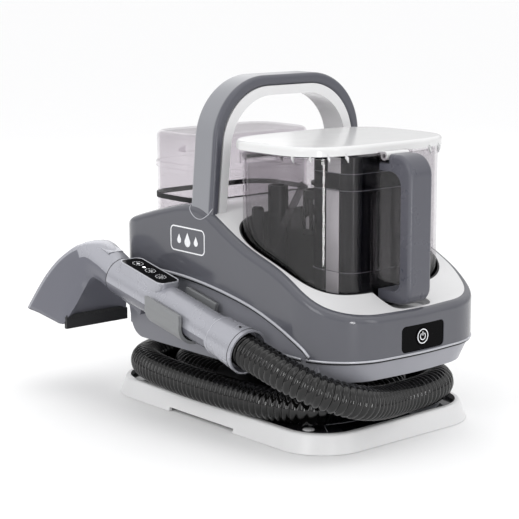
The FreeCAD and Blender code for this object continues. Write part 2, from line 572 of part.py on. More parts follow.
def sweep(points, outer, inner):
    """A tube along straight runs joined by arcs as large as the runs allow; also its radii and length."""
    radii = [0.0] * len(points)
    for i in range(1, len(points) - 1):
        a, b, c = (V(*points[k]) for k in (i - 1, i, i + 1))
        turn = math.pi - (a - b).getAngle(c - b)
        radii[i] = 0.45 * min((a - b).Length, (c - b).Length) / math.tan(turn / 2)
    path = rounded_wire(points, radii, closed=False)
    start, ahead = V(*points[0]), V(*points[1]) - V(*points[0])
    solids = []
    for radius in (outer, inner):
        ring = Part.Wire([Part.makeCircle(radius, start, ahead)])
        solids.append(path.makePipeShell([ring], True, False))
    return solids[0].cut(solids[1]), radii[1:-1], path.Length


def suction_riser():
    """Carries dirty water from the pedestal up to the tank's inlet."""
    route = [(-30, PORT_Y, INNER_Z), (-12, PORT_Y, INNER_Z), (2, -12, 50), (-6, -18, 78), (-28, -24, 96),
             (RISER_X, RISER_Y, 110), (RISER_X, RISER_Y, TANK_Z0 - 1)]
    return sweep(route, RISER_R - 2.5, RISER_R - 4.5)[0]


def air_duct():
    """Carries air from the tank down and back to the fan's eye."""
    route = [(DUCT_X, DUCT_Y, TANK_Z0 - 1), (DUCT_X, DUCT_Y, 108), (24, -12, 94), (12, 8, 84), (4, 18, 82)]
    return sweep(route, DUCT_R - 2.5, DUCT_R - 4.5)[0]


def suction_hose():
    hose, radii, length = sweep(HOSE_ROUTE, HOSE_R, HOSE_BORE_R)
    section = math.pi * (HOSE_R ** 2 - HOSE_BORE_R ** 2)
    print("hose length", round(length, 1), "radii", [round(r) for r in radii])
    print("hose volume over section times length", round(hose.Volume / section / length, 4))
    return hose


# ---- dirty tank -------------------------------------------------------------------------------------
def dirty_tank():
    outer = oval_prism(TANK_HALF_X, TANK_HALF_Y, TANK_Y, TANK_Z0, TANK_Z1)
    outer = soften(outer, 6.0, lambda e: e.BoundBox.ZMax < TANK_Z0 + 0.1)
    inner = oval_prism(TANK_HALF_X - TANK_WALL, TANK_HALF_Y - TANK_WALL, TANK_Y, TANK_Z0 + 3, FAR)
    shell = outer.cut(inner)
    rim = oval_prism(TANK_HALF_X + 2, TANK_HALF_Y + 0.5, TANK_Y, TANK_Z1 - 5, TANK_Z1).cut(inner)
    shell = shell.fuse(rim)
    for x in (RISER_X, DUCT_X):
        shell = shell.cut(cyl(RISER_R - 4, V(x, RISER_Y, TANK_Z0 - 5), Z_AXIS, 15))
    for sx in (-1, 1):
        ear = side_prism([(-142, 262), (-154, 262), (-154, 272), (-146.5, 272), (-142, 267.5)],
                         sx * LID_EAR_X - 1.5, sx * LID_EAR_X + 1.5)
        stub = cyl(PIN_R, V(min(sx * LID_EAR_X, sx * (LID_EAR_X - 9)), LID_HINGE_Y, LID_HINGE_Z), X_AXIS, 9)
        shell = shell.fuse(ear).fuse(stub)
    return shell.removeSplitter()


def chamber_block(grow, z0, z1):
    middle, half_y = (CHAMBER_Y0 + CHAMBER_Y1) / 2, (CHAMBER_Y1 - CHAMBER_Y0) / 2
    return rect_prism(CHAMBER_HALF_X + grow, half_y + grow, CHAMBER_R + grow, z0, z1, middle)


def separator_chamber():
    """The dark chamber in the tank where water drops out of the air, with a flange round it."""
    flange_z = CHAMBER_Z1 - FLANGE_DROP
    flange = chamber_block(FLANGE_W, flange_z, flange_z + FLANGE_T)
    body = chamber_block(0, TANK_Z0 + WALL, CHAMBER_Z1).fuse(flange)
    return body.cut(chamber_block(-CHAMBER_T, TANK_Z0 + WALL + CHAMBER_T, FAR))


def chamber_cap():
    """The black cap that closes the separator chamber under the lid."""
    cap = chamber_block(0, CHAMBER_Z1, TANK_Z1 - 1)
    return cap.cut(chamber_block(-4, CHAMBER_Z1 - 1, TANK_Z1 - 4))


def inlet_pipe(x):
    return tube(RISER_R - 4, RISER_R - 6, V(x, RISER_Y, TANK_Z0), Z_AXIS, 104)


def tank_tubes():
    return Part.makeCompound([inlet_pipe(RISER_X), inlet_pipe(DUCT_X)])


def float_cage():
    """The slotted guide of the float, on an arm from the chamber."""
    z0, slot_h = FLOAT_Z0 - CAGE_BELOW, 30.0
    cage = tube(CAGE_R, CAGE_R - CAGE_T, V(FLOAT_X, FLOAT_Y, z0), Z_AXIS, CAGE_H)
    for i in range(3):
        slot = box(-20, 20, -4, 4, FLOAT_Z0, FLOAT_Z0 + slot_h)
        slot.rotate(V(0, 0, 0), Z_AXIS, i * 60)
        slot.translate(V(FLOAT_X, FLOAT_Y, 0))
        cage = cage.cut(slot)
    foot = cyl(CAGE_R, V(FLOAT_X, FLOAT_Y, z0), Z_AXIS, WALL)
    arm = box(FLOAT_X - 4, FLOAT_X + 4, CHAMBER_Y1, FLOAT_Y - CAGE_R + 1.5, z0, z0 + WALL)
    return cage.fuse(foot).fuse(arm)


def float_ball():
    ball = cyl(FLOAT_R, V(FLOAT_X, FLOAT_Y, FLOAT_Z0 - 2.6), Z_AXIS, FLOAT_H)
    return soften(ball, 3.0, lambda e: e.BoundBox.ZLength < 0.1)


def tank_handle():
    """A deep bar with a hooked foot; its top and foot run back to the tank's front wall."""
    wall, x = TANK_Y - TANK_HALF_Y - 0.3, -HANDLE_HALF_X
    under_top, over_foot = HANDLE_Z1 - HANDLE_TOP_T, HANDLE_Z0 + HANDLE_FOOT_T
    grip = rounded_wire([(x, HANDLE_Y0, HANDLE_Z0), (x, HANDLE_Y0, HANDLE_Z1), (x, wall, HANDLE_Z1),
                         (x, wall, under_top), (x, HANDLE_Y1, under_top), (x, HANDLE_Y1, over_foot),
                         (x, wall, over_foot), (x, wall, HANDLE_Z0)],
                        [16, 20, 0.01, 0.01, 14, 10, 0.01, 0.01])
    bar = prism(grip, V(2 * HANDLE_HALF_X, 0, 0))
    bar = bar.cut(oval_prism(TANK_HALF_X + 2, TANK_HALF_Y + 0.5, TANK_Y, TANK_Z0, FAR))
    bar = bar.cut(box(-FAR, FAR, LID_HINGE_Y - 6.5, FAR, LID_HINGE_Z - 6.5, FAR))
    bar = soften(bar, 4.0, lambda e: e.BoundBox.XLength < 0.1 and e.BoundBox.YMin < HANDLE_Y1 - 5
                 and e.Length > 20)
    return largest(bar)


def dirty_tank_lid():
    plate = oval_prism(LID_HALF_X, LID_HALF_Y, LID_Y, LID_Z0, LID_Z1)
    plate = soften(plate, 3.5, lambda e: e.BoundBox.ZMin > LID_Z1 - 0.1)
    plate = plate.cut(oval_prism(LID_HALF_X - 8, LID_HALF_Y - 8, LID_Y, LID_Z0 - 1, LID_Z0 + 3))
    half = LID_KNUCKLE_HALF_X
    knuckle = cyl(LID_KNUCKLE_R, V(-half, LID_HINGE_Y, LID_HINGE_Z), X_AXIS, 2 * half)
    web = box(-half, half, LID_HINGE_Y, LID_HINGE_Y + 10, LID_HINGE_Z + 1, LID_Z0 + 1)
    hinge = knuckle.fuse(web).cut(cyl(PIN_R + PIN_PLAY, V(-40, LID_HINGE_Y, LID_HINGE_Z), X_AXIS, 80))
    return plate.fuse(hinge.cut(box(-30, 30, LID_HINGE_Y + 4.4, 0, 0, LID_Z0))).removeSplitter()


def lid_seal():
    ring = oval_prism(TANK_HALF_X - 1, TANK_HALF_Y - 1, TANK_Y, TANK_Z1 + 0.5, LID_Z0 + 3)
    return ring.cut(oval_prism(TANK_HALF_X - 5, TANK_HALF_Y - 5, TANK_Y, 0, FAR)).common(
        oval_prism(LID_HALF_X - 8, LID_HALF_Y - 8, LID_Y, 0, FAR))


# ---- clean tank -------------------------------------------------------------------------------------
def clean_plan(grow, z0, z1):
    return clean_opening(grow, z0).common(box(-FAR, FAR, -FAR, FAR, z0, z1))


def clean_tank():
    shell = clean_plan(0, CLEAN_Z0, CLEAN_Z1)
    shell = soften(shell, 4.0, lambda e: e.BoundBox.ZMax < CLEAN_Z0 + 0.1)
    shell = shell.cut(clean_plan(-TANK_WALL, CLEAN_Z0 + 3, FAR))
    shell = shell.fuse(clean_plan(1.5, CLEAN_Z1 - 5, CLEAN_Z1).cut(clean_plan(-TANK_WALL, 0, FAR)))
    shell = shell.cut(cyl(VALVE_R + PIN_PLAY, V(VALVE_X, VALVE_Y, CLEAN_Z0 - 5), Z_AXIS, 15))
    for sx in (-1, 1):
        ear = side_prism([(CLEAN_Y0, 240), (CLEAN_Y0 - 3, 243), (CLEAN_Y0 - 3, 255), (CLEAN_Y0 + 5, 255),
                          (CLEAN_Y0 + 5, CLEAN_Z1), (CLEAN_Y0 + 1, CLEAN_Z1)], sx * CLEAN_EAR_X - 1.5,
                         sx * CLEAN_EAR_X + 1.5)
        inner = sx * (CLEAN_EAR_X - 10)
        stub = cyl(PIN_R, V(min(sx * CLEAN_EAR_X, inner), CLEAN_PIN_Y, CLEAN_PIN_Z), X_AXIS, 10)
        shell = shell.fuse(ear).fuse(stub)
    return shell.removeSplitter()


def clean_tank_gasket():
    return clean_plan(BAY_CLEAR - GAP, 207, 212).cut(clean_plan(0.0, 0, FAR))


def clean_tank_lid():
    lid = clean_plan(0, CLEAN_Z1 + 0.5, CLEAN_LID_Z1)
    lid = soften(lid, 6.0, lambda e: e.BoundBox.ZMin > CLEAN_LID_Z1 - 0.1)
    lid = lid.cut(clean_plan(-TANK_WALL, 0, CLEAN_LID_Z1 - TANK_WALL))
    edge = CLEAN_Y1 + CLEAN_LIP
    lip = side_prism([(CLEAN_Y1 - 2, 247), (edge, 247), (edge, 250), (CLEAN_Y1 - 2, 256)],
                     -CLEAN_LIP_HALF_X, CLEAN_LIP_HALF_X)
    lid = lid.fuse(lip)
    room = CLEAN_EAR_X + 3
    lid = lid.cut(box(-room, room, -FAR, CLEAN_Y0 + 5.6, 0, CLEAN_PIN_Z + 6))
    half = CLEAN_KNUCKLE_HALF_X
    knuckle = cyl(CLEAN_KNUCKLE_R, V(-half, CLEAN_PIN_Y, CLEAN_PIN_Z), X_AXIS, 2 * half)
    web = box(-half, half, CLEAN_PIN_Y - 1, CLEAN_PIN_Y + 1.4, CLEAN_PIN_Z + 2, CLEAN_PIN_Z + 7)
    hinge = knuckle.fuse(web).cut(cyl(PIN_R + PIN_PLAY, V(-40, CLEAN_PIN_Y, CLEAN_PIN_Z), X_AXIS, 80))
    return lid.fuse(hinge).removeSplitter()


def clean_valve():
    """The valve in the clean tank's floor; its stem ends clear above the bay's spigot."""
    stem = cyl(VALVE_R - 3, V(VALVE_X, VALVE_Y, CLEAN_Z0 + VALVE_RISE), Z_AXIS, 8.0 - VALVE_RISE)
    return stem.fuse(cyl(VALVE_R, V(VALVE_X, VALVE_Y, CLEAN_Z0 + VALVE_RISE), Z_AXIS, 3.0 - VALVE_RISE)).fuse(
        cyl(VALVE_R + 3, V(VALVE_X, VALVE_Y, CLEAN_Z0 + 3.3), Z_AXIS, 2))


# ---- wand -------------------------------------------------------------------------------------------
def grip_blank(shrink):
    return Part.makeCone(WAND_R1 - shrink, WAND_R0 - shrink, WAND_LEN, V(0, -WAND_LEN, 0), Y_AXIS)


def wand_shell(low, high):
    shell = grip_blank(0).cut(grip_blank(2.5))
    return shell.common(box(-FAR, FAR, -FAR, FAR, low, high))


def wand_upper_shell():
    """The silver half, with a raised saddle round the black panel."""
    shell = wand_shell(SHELL_SPLIT_H, FAR)
    saddle = panel_block(2, 8, SADDLE_H).cut(grip_blank(2.5))
    shell = shell.fuse(saddle).cut(panel_block(0, 10, FAR))
    return on_wand(largest(shell.removeSplitter()))


def wand_lower_shell():
    shell = wand_shell(-FAR, SHELL_SPLIT_H)
    pin = cyl(TRIGGER_PIN_R, V(-7.3, TRIGGER_S, TRIGGER_H), X_AXIS, 14.6)
    return on_wand(largest(shell.cut(trigger_slot()).fuse(pin)))


def panel_block(grow, h0, h1):
    middle, half = (PANEL_S0 + PANEL_S1) / 2, (PANEL_S1 - PANEL_S0) / 2
    return rect_prism(PANEL_HALF_X + grow, half + grow, 6 + grow, h0, h1, middle)


def wand_panel():
    plate = panel_block(0, PANEL_H - 5, PANEL_H)
    for s in BUTTON_S:
        plate = plate.cut(cyl(BUTTON_R + GAP, V(0, s, 0), Z_AXIS, FAR))
    return on_wand(plate)


def mode_button(s):
    cap = cyl(BUTTON_R, V(0, s, PANEL_H - 1.8), Z_AXIS, 2.0)
    return on_wand(cap.fuse(cyl(2.0, V(0, s, PANEL_H - 4), Z_AXIS, 3)))


def wand_tube():
    """The suction tube inside the grip."""
    return on_wand(tube(12.5, 10.5, V(0, -WAND_LEN, 0), Y_AXIS, WAND_LEN + 9))


def collar_ring():
    ring = tube(WAND_R1 + 1.0, 12.5, V(0, -WAND_LEN - 2.5, 0), Y_AXIS, 2.5)
    return on_wand(ring.fuse(tube(12.5, 10.5, V(0, -WAND_LEN - 10, 0), Y_AXIS, 10)))


def trigger_slot():
    return box(-6, 6, -46, -8, -FAR, -10)


def spray_trigger():
    lever = rounded_wire([(-5, -44, -17.5), (-5, -20, -14.5), (-5, -8.8, -13.2), (-5, -8.8, -19.4),
                          (-5, -30, -22), (-5, -44, -25.5)], [1, 8, 2, 2, 14, 2])
    blade = prism(lever, V(10, 0, 0))
    return on_wand(blade.cut(cyl(TRIGGER_PIN_R + PIN_PLAY, V(-10, TRIGGER_S, TRIGGER_H), X_AXIS, 20)))


def hose_cuff():
    """The swivelling end of the wand; the hose starts at its mouth, so the wand can lift away."""
    mouth, s0 = -WAND_LEN - CUFF_LEN, -WAND_LEN - 2.5 - GAP
    cuff = Part.makeCone(CUFF_R1, CUFF_R0 + 1, CUFF_LEN - 2.9, V(0, mouth, 0), Y_AXIS)
    cuff = cuff.cut(cyl(CUFF_RECESS_R, V(0, mouth, 0), Y_AXIS, CUFF_RECESS))
    cuff = cuff.cut(cyl(HOSE_R + 0.6, V(0, mouth, 0), Y_AXIS, 30))
    cuff = cuff.cut(cyl(12.6, V(0, s0 - 20, 0), Y_AXIS, 25))
    inner = tube(HOSE_R + 0.7, HOSE_BORE_R - 2, V(0, mouth + CUFF_RECESS + 1 + GAP, 0), Y_AXIS, 5)
    return on_wand(cuff.fuse(inner))


# ---- nozzle -----------------------------------------------------------------------------------------
def section(centre_y, centre_z, pitch, half_x, half_v, radius):
    """A rounded rectangle facing along the pitch angle in the YZ plane."""
    n_y, n_z = math.cos(math.radians(pitch)), math.sin(math.radians(pitch))
    corners = []
    for sx, sv in ((-1, -1), (1, -1), (1, 1), (-1, 1)):
        y, z = centre_y - sv * half_v * n_z, centre_z + sv * half_v * n_y
        corners.append((WAND_SEAM.x + sx * half_x, y, z))
    return rounded_wire(corners, [radius] * 4)


def hood_blank(shrink):
    seam = WAND_SEAM + V(0, math.cos(math.radians(WAND_TILT)), math.sin(math.radians(WAND_TILT))) * GAP
    return Part.makeLoft([
        section(seam.y, seam.z, WAND_TILT, 19 - shrink, 19 - shrink, 16 - shrink),
        section(148, 143.5, -32, 22 - shrink, 21.5 - shrink, 14 - shrink),
        section(170, 122, -62, 28 - shrink, 27 - shrink, 10 - shrink),
        section(196, 79, -84, MOUTH_HALF_X - shrink, 34.5 - shrink, 6)], True, True)


def latch_block(grow):
    half_x = LATCH_HALF_X + grow
    return box(WAND_SEAM.x - half_x, WAND_SEAM.x + half_x, LATCH_Y0 - grow, LATCH_Y1 + grow, 140, 175)


def nozzle_hood():
    return largest(hood_blank(0).cut(hood_blank(HOOD_T)).cut(latch_block(GAP)))


def nozzle_spine():
    """The bright band that runs over the hood's back, from the latch to the suction lip."""
    ribbon = hood_blank(-SPINE_T).cut(hood_blank(0))
    strip = ribbon.common(box(WAND_SEAM.x - SPINE_HALF_X, WAND_SEAM.x + SPINE_HALF_X, 145, 300, 60, 200))
    lower = side_prism([(135, 100), (150, 118), (175, 80), (240, 60), (135, 60)], -FAR, FAR)
    return largest(strip.cut(lower))


def nozzle_brush():
    bar = box(WAND_SEAM.x - 38, WAND_SEAM.x + 38, 157.5, 161.5, 74, 86)
    return bar.cut(hood_blank(0))


def spray_tip():
    return cyl(4.5, V(WAND_SEAM.x, 140, 112), V(0, 0.6, -0.8), 10).cut(hood_blank(0))


def nozzle_latch():
    return latch_block(0).common(hood_blank(-HOOD_T)).cut(hood_blank(4))


# ---- all parts --------------------------------------------------------------------------------------
def all_parts():
    outer = hull_outer()
    parts = {
        "base_tray": base_tray(), "base_insert": base_insert(), "bottom_cover": bottom_cover(),
        "rubber_feet": rubber_feet(), "housing_screws": housing_screws(), "pedestal": pedestal(),
        "lower_housing": lower_housing(), "upper_housing": upper_housing(outer),
        "deck_trim": deck_trim(), "tank_bay": tank_bay(), "clean_bay": clean_bay(),
        "arch_shell": arch_shell(outer), "arch_liner": arch_liner(outer), "power_panel": power_panel(),
        "power_button": power_button(), "control_board": control_board(), "rear_grille": rear_grille(),
        "cord_gland": cord_gland(), "dock_bracket": dock_bracket(), "wand_cradle": wand_cradle(),
        "motor_housing": motor_housing(), "motor_stator": motor_stator(), "motor_mount": motor_mount(),
        "motor_rotor": motor_rotor(), "fan_impeller": fan_impeller(), "pump_body": pump_body(),
        "pump_plunger": pump_plunger(), "solution_tube": solution_tube(), "hose_port": hose_port(),
        "suction_riser": suction_riser(), "air_duct": air_duct(), "suction_hose": suction_hose(),
        "dirty_tank": dirty_tank(), "separator_chamber": separator_chamber(), "chamber_cap": chamber_cap(),
        "tank_tubes": tank_tubes(), "float_cage": float_cage(), "float_ball": float_ball(),
        "tank_handle": tank_handle(), "dirty_tank_lid": dirty_tank_lid(), "lid_seal": lid_seal(),
        "clean_tank": clean_tank(), "clean_tank_gasket": clean_tank_gasket(),
        "clean_tank_lid": clean_tank_lid(), "clean_valve": clean_valve(),
        "wand_upper_shell": wand_upper_shell(), "wand_lower_shell": wand_lower_shell(),
        "wand_panel": wand_panel(), "wand_tube": wand_tube(),
        "collar_ring": collar_ring(), "spray_trigger": spray_trigger(), "hose_cuff": hose_cuff(),
        "nozzle_hood": nozzle_hood(), "nozzle_spine": nozzle_spine(), "nozzle_brush": nozzle_brush(),
        "spray_tip": spray_tip(), "nozzle_latch": nozzle_latch(),
    }
    for i, s in enumerate(BUTTON_S):
        parts["mode_button_%d" % (i + 1)] = mode_button(s)
    return parts


def main():
    os.makedirs("parts", exist_ok=True)
    for name, shape in all_parts().items():
        shape.exportStep("parts/%s.step" % name)
        bound = shape.BoundBox
        sides = [bound.XMin, bound.XMax, bound.YMin, bound.YMax, bound.ZMin, bound.ZMax]
        state = "ok" if shape.isValid() else "INVALID"
        print(name, state, len(shape.Solids), round(shape.Volume / 1000, 1), [round(v, 1) for v in sides])


main()
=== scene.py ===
import json
import math
import bmesh
import bpy
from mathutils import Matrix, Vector
from mathutils.bvhtree import BVHTree

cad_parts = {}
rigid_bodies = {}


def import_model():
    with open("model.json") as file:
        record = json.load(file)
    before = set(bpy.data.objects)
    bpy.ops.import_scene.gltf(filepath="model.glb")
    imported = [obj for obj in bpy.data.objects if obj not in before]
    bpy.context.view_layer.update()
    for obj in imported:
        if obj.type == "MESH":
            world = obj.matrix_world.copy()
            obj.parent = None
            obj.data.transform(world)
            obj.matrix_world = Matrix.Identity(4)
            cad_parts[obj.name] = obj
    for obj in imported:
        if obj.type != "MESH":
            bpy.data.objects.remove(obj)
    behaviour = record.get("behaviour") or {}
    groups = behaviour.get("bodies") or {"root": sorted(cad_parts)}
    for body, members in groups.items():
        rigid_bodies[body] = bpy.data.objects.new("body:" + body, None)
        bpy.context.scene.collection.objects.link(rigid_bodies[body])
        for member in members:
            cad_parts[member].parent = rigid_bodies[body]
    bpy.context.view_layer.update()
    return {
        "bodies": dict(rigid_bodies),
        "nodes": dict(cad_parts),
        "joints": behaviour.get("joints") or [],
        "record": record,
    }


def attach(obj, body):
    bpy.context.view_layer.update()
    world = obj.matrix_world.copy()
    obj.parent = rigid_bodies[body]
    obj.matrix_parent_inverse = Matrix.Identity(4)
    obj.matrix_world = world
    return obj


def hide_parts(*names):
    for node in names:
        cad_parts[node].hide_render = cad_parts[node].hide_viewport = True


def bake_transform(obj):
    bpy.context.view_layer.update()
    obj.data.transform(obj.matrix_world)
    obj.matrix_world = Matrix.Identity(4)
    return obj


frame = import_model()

# Looks for the spot extractor.  Metres, +Z up, the front with the power panel faces -Y and the wand
# is docked along the -X side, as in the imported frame.

MM = 0.001
NODES = frame["nodes"]


# ---- camera, floor and light ------------------------------------------------------------------------
AIM = Vector((0.0, 0.0, 0.150))
CAMERA_AZ, CAMERA_EL, CAMERA_DISTANCE = math.radians(-41.353), math.radians(10.59), 1.5816


def make_camera():
    """The camera, at the angle of the view that the object is matched to."""
    data = bpy.data.cameras.new("camera")
    data.sensor_width, data.lens = 36.0, 108.83
    data.shift_x, data.shift_y = -0.0551, -0.0029
    data.clip_start, data.clip_end = 0.05, 100.0
    camera = bpy.data.objects.new("camera", data)
    bpy.context.scene.collection.objects.link(camera)
    away = Vector((math.sin(CAMERA_AZ) * math.cos(CAMERA_EL), -math.cos(CAMERA_AZ) * math.cos(CAMERA_EL),
                   math.sin(CAMERA_EL)))
    camera.location = AIM + away * CAMERA_DISTANCE
    camera.rotation_mode = "QUATERNION"
    camera.rotation_quaternion = (-away).to_track_quat("-Z", "Y")
    bpy.context.scene.camera = camera


def area_light(name, place, aim, size_x, size_y, power, gloss_only=False):
    data = bpy.data.lights.new(name, "AREA")
    data.shape, data.size, data.size_y = "RECTANGLE", size_x, size_y
    data.energy = power
    light = bpy.data.objects.new(name, data)
    bpy.context.scene.collection.objects.link(light)
    light.location = place
    light.rotation_mode = "QUATERNION"
    light.rotation_quaternion = (Vector(aim) - Vector(place)).to_track_quat("-Z", "Y")
    light.visible_camera = False
    light.visible_diffuse = not gloss_only


def make_studio():
    """A white floor under a sky that is brighter overhead, and softboxes."""
    bpy.context.scene.view_settings.view_transform = "Standard"
    world = bpy.data.worlds.new("studio")
    bpy.context.scene.world = world
    world.use_nodes = True
    nodes, links = world.node_tree.nodes, world.node_tree.links
    place = nodes.new("ShaderNodeTexCoord")
    split = nodes.new("ShaderNodeSeparateXYZ")
    ramp = nodes.new("ShaderNodeValToRGB")
    for stop, (position, grey) in zip((ramp.color_ramp.elements[0], ramp.color_ramp.elements[1],
                                       ramp.color_ramp.elements.new(0.42)),
                                      ((0.04, 0.5), (0.8, 1.05), (0.42, 0.95))):
        stop.position, stop.color = position, (grey, grey, grey * 1.01, 1)
    links.new(place.outputs["Generated"], split.inputs["Vector"])
    links.new(split.outputs["Z"], ramp.inputs["Fac"])
    links.new(ramp.outputs["Color"], nodes["Background"].inputs["Color"])
    nodes["Background"].inputs["Strength"].default_value = 1.12
    area_light("softbox_top", (0.1, -0.2, 1.7), (0, 0, 0.1), 1.4, 1.4, 4)
    area_light("softbox_left", (-1.9, -0.5, 0.9), (0, 0, 0.15), 0.7, 1.3, 7)
    area_light("softbox_front", (0.35, -1.9, 0.8), (0, 0, 0.15), 0.5, 1.3, 3)
    area_light("softbox_back", (0.9, 1.8, 1.1), (0, 0, 0.15), 1.2, 1.2, 4)
    area_light("window", (-0.42, -0.95, 0.12), (-0.06, -0.17, 0.12), 0.1, 0.34, 1.5, gloss_only=True)
    floor = new_mesh("floor", [(-30, -30, 0), (30, -30, 0), (30, 30, 0), (-30, 30, 0)], [(0, 1, 2, 3)], FLOOR)


# ---- mesh helpers -----------------------------------------------------------------------------------
def new_mesh(name, points, faces, material, smooth=True):
    mesh = bpy.data.meshes.new(name)
    mesh.from_pydata([tuple(p) for p in points], [], faces)
    mesh.materials.append(material)
    mesh.shade_smooth() if smooth else mesh.shade_flat()
    piece = bpy.data.objects.new(name, mesh)
    bpy.context.scene.collection.objects.link(piece)
    return piece


def turning_frames(points):
    """A tangent and two normals for each point of a line, turning as little as the line lets them."""
    tangents = []
    for i in range(len(points)):
        before, after = points[max(i - 1, 0)], points[min(i + 1, len(points) - 1)]
        tangents.append((after - before).normalized())
    side = tangents[0].orthogonal().normalized()
    frames = []
    for tangent in tangents:
        side = (side - tangent * side.dot(tangent)).normalized()
        frames.append((tangent, side, tangent.cross(side)))
    return frames


def tube_mesh(name, points, radii, material, around=24, capped=True):
    """A round tube along points, with a radius for each."""
    verts, faces = [], []
    for point, radius, (_, side, up) in zip(points, radii, turning_frames(points)):
        for k in range(around):
            angle = math.tau * k / around
            verts.append(point + (side * math.cos(angle) + up * math.sin(angle)) * radius)
    for i in range(len(points) - 1):
        for k in range(around):
            a, b = i * around + k, i * around + (k + 1) % around
            faces.append((a, b, b + around, a + around))
    if capped:
        faces.append(tuple(reversed(range(around))))
        faces.append(tuple(range(len(verts) - around, len(verts))))
    return new_mesh(name, verts, faces, material)


def spline_points(points, resolution):
    """Points of the smooth line that a NURBS spline makes from a route's points."""
    data = bpy.data.curves.new("route", "CURVE")
    data.dimensions = "3D"
    spline = data.splines.new("NURBS")
    spline.points.add(len(points) - 1)
    for slot, point in zip(spline.points, points):
        slot.co = (*point, 1)
    spline.order_u = 3
    spline.use_endpoint_u = True
    spline.resolution_u = resolution
    holder = bpy.data.objects.new("route", data)
    bpy.context.scene.collection.objects.link(holder)
    bpy.context.view_layer.update()
    line = bpy.data.meshes.new_from_object(holder.evaluated_get(bpy.context.evaluated_depsgraph_get()))
    found = [v.co.copy() for v in line.vertices]
    bpy.data.objects.remove(holder)
    return found


def even_points(line, step):
    """Points about one step apart along a line."""
    total = sum((b - a).length for a, b in zip(line, line[1:]))
    count = max(2, round(total / step))
    step = total / count
    found, walked, want = [line[0]], 0.0, step
    for a, b in zip(line, line[1:]):
        length = (b - a).length
        while want <= walked + length and len(found) < count:
            found.append(a.lerp(b, (want - walked) / length))
            want += step
        walked += length
    return found + [line[-1]]


def through_points(points, per_span):
    """A smooth line through points."""
    ends = [points[0] * 2 - points[1]] + list(points) + [points[-1] * 2 - points[-2]]
    found = []
    for a, b, c, d in zip(ends, ends[1:], ends[2:], ends[3:]):
        for k in range(per_span):
            t = k / per_span
            found.append(0.5 * (2 * b + (c - a) * t + (2 * a - 5 * b + 4 * c - d) * t ** 2
                                + (3 * b - a - 3 * c + d) * t ** 3))
    return found + [points[-1]]


def rounded_outline(corners, radii, per_corner=8):
    """A closed flat outline whose corners are rounded by the given radii."""
    found = []
    for i, radius in enumerate(radii):
        here = Vector(corners[i])
        back = (Vector(corners[i - 1]) - here).normalized()
        ahead = (Vector(corners[(i + 1) % len(corners)]) - here).normalized()
        half = back.angle(ahead) / 2
        centre = here + (back + ahead).normalized() * (radius / math.sin(half))
        start = here + back * (radius / math.tan(half)) - centre
        end = here + ahead * (radius / math.tan(half)) - centre
        for k in range(per_corner + 1):
            found.append(centre + start.slerp(end, k / per_corner, start).normalized() * radius)
    return found


def rounded_box_outline(half_u, half_v, radius, per_corner=8):
    """A rectangle with four equal round corners."""
    corners = [(-half_u, -half_v), (half_u, -half_v), (half_u, half_v), (-half_u, half_v)]
    return rounded_outline(corners, [radius] * 4, per_corner)


def loop_tube(name, points, radius, material, around=10):
    """A thin round bead along a closed line."""
    count = len(points)
    verts, faces = [], []
    side = (points[1] - points[-1]).orthogonal().normalized()
    for i in range(count):
        tangent = (points[(i + 1) % count] - points[i - 1]).normalized()
        side = (side - tangent * side.dot(tangent)).normalized()
        up = tangent.cross(side)
        for k in range(around):
            angle = math.tau * k / around
            verts.append(points[i] + (side * math.cos(angle) + up * math.sin(angle)) * radius)
    first = [v - points[0] for v in verts[:around]]
    last = [v - points[-1] for v in verts[-around:]]
    turn = min(range(around), key=lambda k: (first[k] - last[0]).length)
    for i in range(count):
        shift = turn if i == count - 1 else 0
        for k in range(around):
            a, b = i * around + k, i * around + (k + 1) % around
            nxt = (i + 1) % count * around
            faces.append((a, b, nxt + (k + 1 + shift) % around, nxt + (k + shift) % around))
    return new_mesh(name, verts, faces, material)


def solid_box(name, centre, half, material, bevel=0.5 * MM, axes=None):
    """A small moulded block with rounded edges."""
    mesh = bmesh.new()
    bmesh.ops.create_cube(mesh, size=2)
    right, deep, up = axes or (Vector((1, 0, 0)), Vector((0, 1, 0)), Vector((0, 0, 1)))
    for vert in mesh.verts:
        x, y, z = (vert.co[k] * half[k] for k in range(3))
        vert.co = Vector(centre) + right * x + deep * y + up * z
    bmesh.ops.bevel(mesh, geom=mesh.edges[:], offset=bevel, segments=3, profile=0.5, affect="EDGES")
    bmesh.ops.recalc_face_normals(mesh, faces=mesh.faces[:])
    data = bpy.data.meshes.new(name)
    mesh.to_mesh(data)
    mesh.free()
    data.materials.append(material)
    data.shade_smooth()
    data.set_sharp_from_angle(angle=math.radians(40))
    piece = bpy.data.objects.new(name, data)
    bpy.context.scene.collection.objects.link(piece)
    return piece


def stroke(points, width, closed=False):
    """Flat four-sided faces along a line in the plane."""
    count = len(points)
    sides = []
    for i, point in enumerate(points):
        before = points[i - 1] if closed or i else points[0]
        after = points[(i + 1) % count] if closed or i < count - 1 else points[-1]
        along = (after - before).normalized()
        across = Vector((-along.y, along.x)) * (width / 2)
        sides.append((point + across, point - across))
    faces = []
    for i in range(count if closed else count - 1):
        (a, b), (c, d) = sides[i], sides[(i + 1) % count]
        faces.append([a, b, d, c])
    return faces


def arc(radius, start, end, count=24, centre=(0, 0)):
    """Points of a circle's arc in the plane, in degrees."""
    angles = [math.radians(start + (end - start) * i / count) for i in range(count + 1)]
    return [Vector((centre[0] + radius * math.cos(a), centre[1] + radius * math.sin(a))) for a in angles]


def ring(radius, width, centre=(0, 0), count=48):
    """A flat ring, as printed on a surface."""
    return stroke(arc(radius, 0, 360, count, centre)[:-1], width, closed=True)


def droplet(radius, centre=(0, 0)):
    """A round drop with a point at its top."""
    body = arc(radius, 145, 395, 28)
    return [[point + Vector(centre) for point in body + [Vector((0, 2.1 * radius))]]]


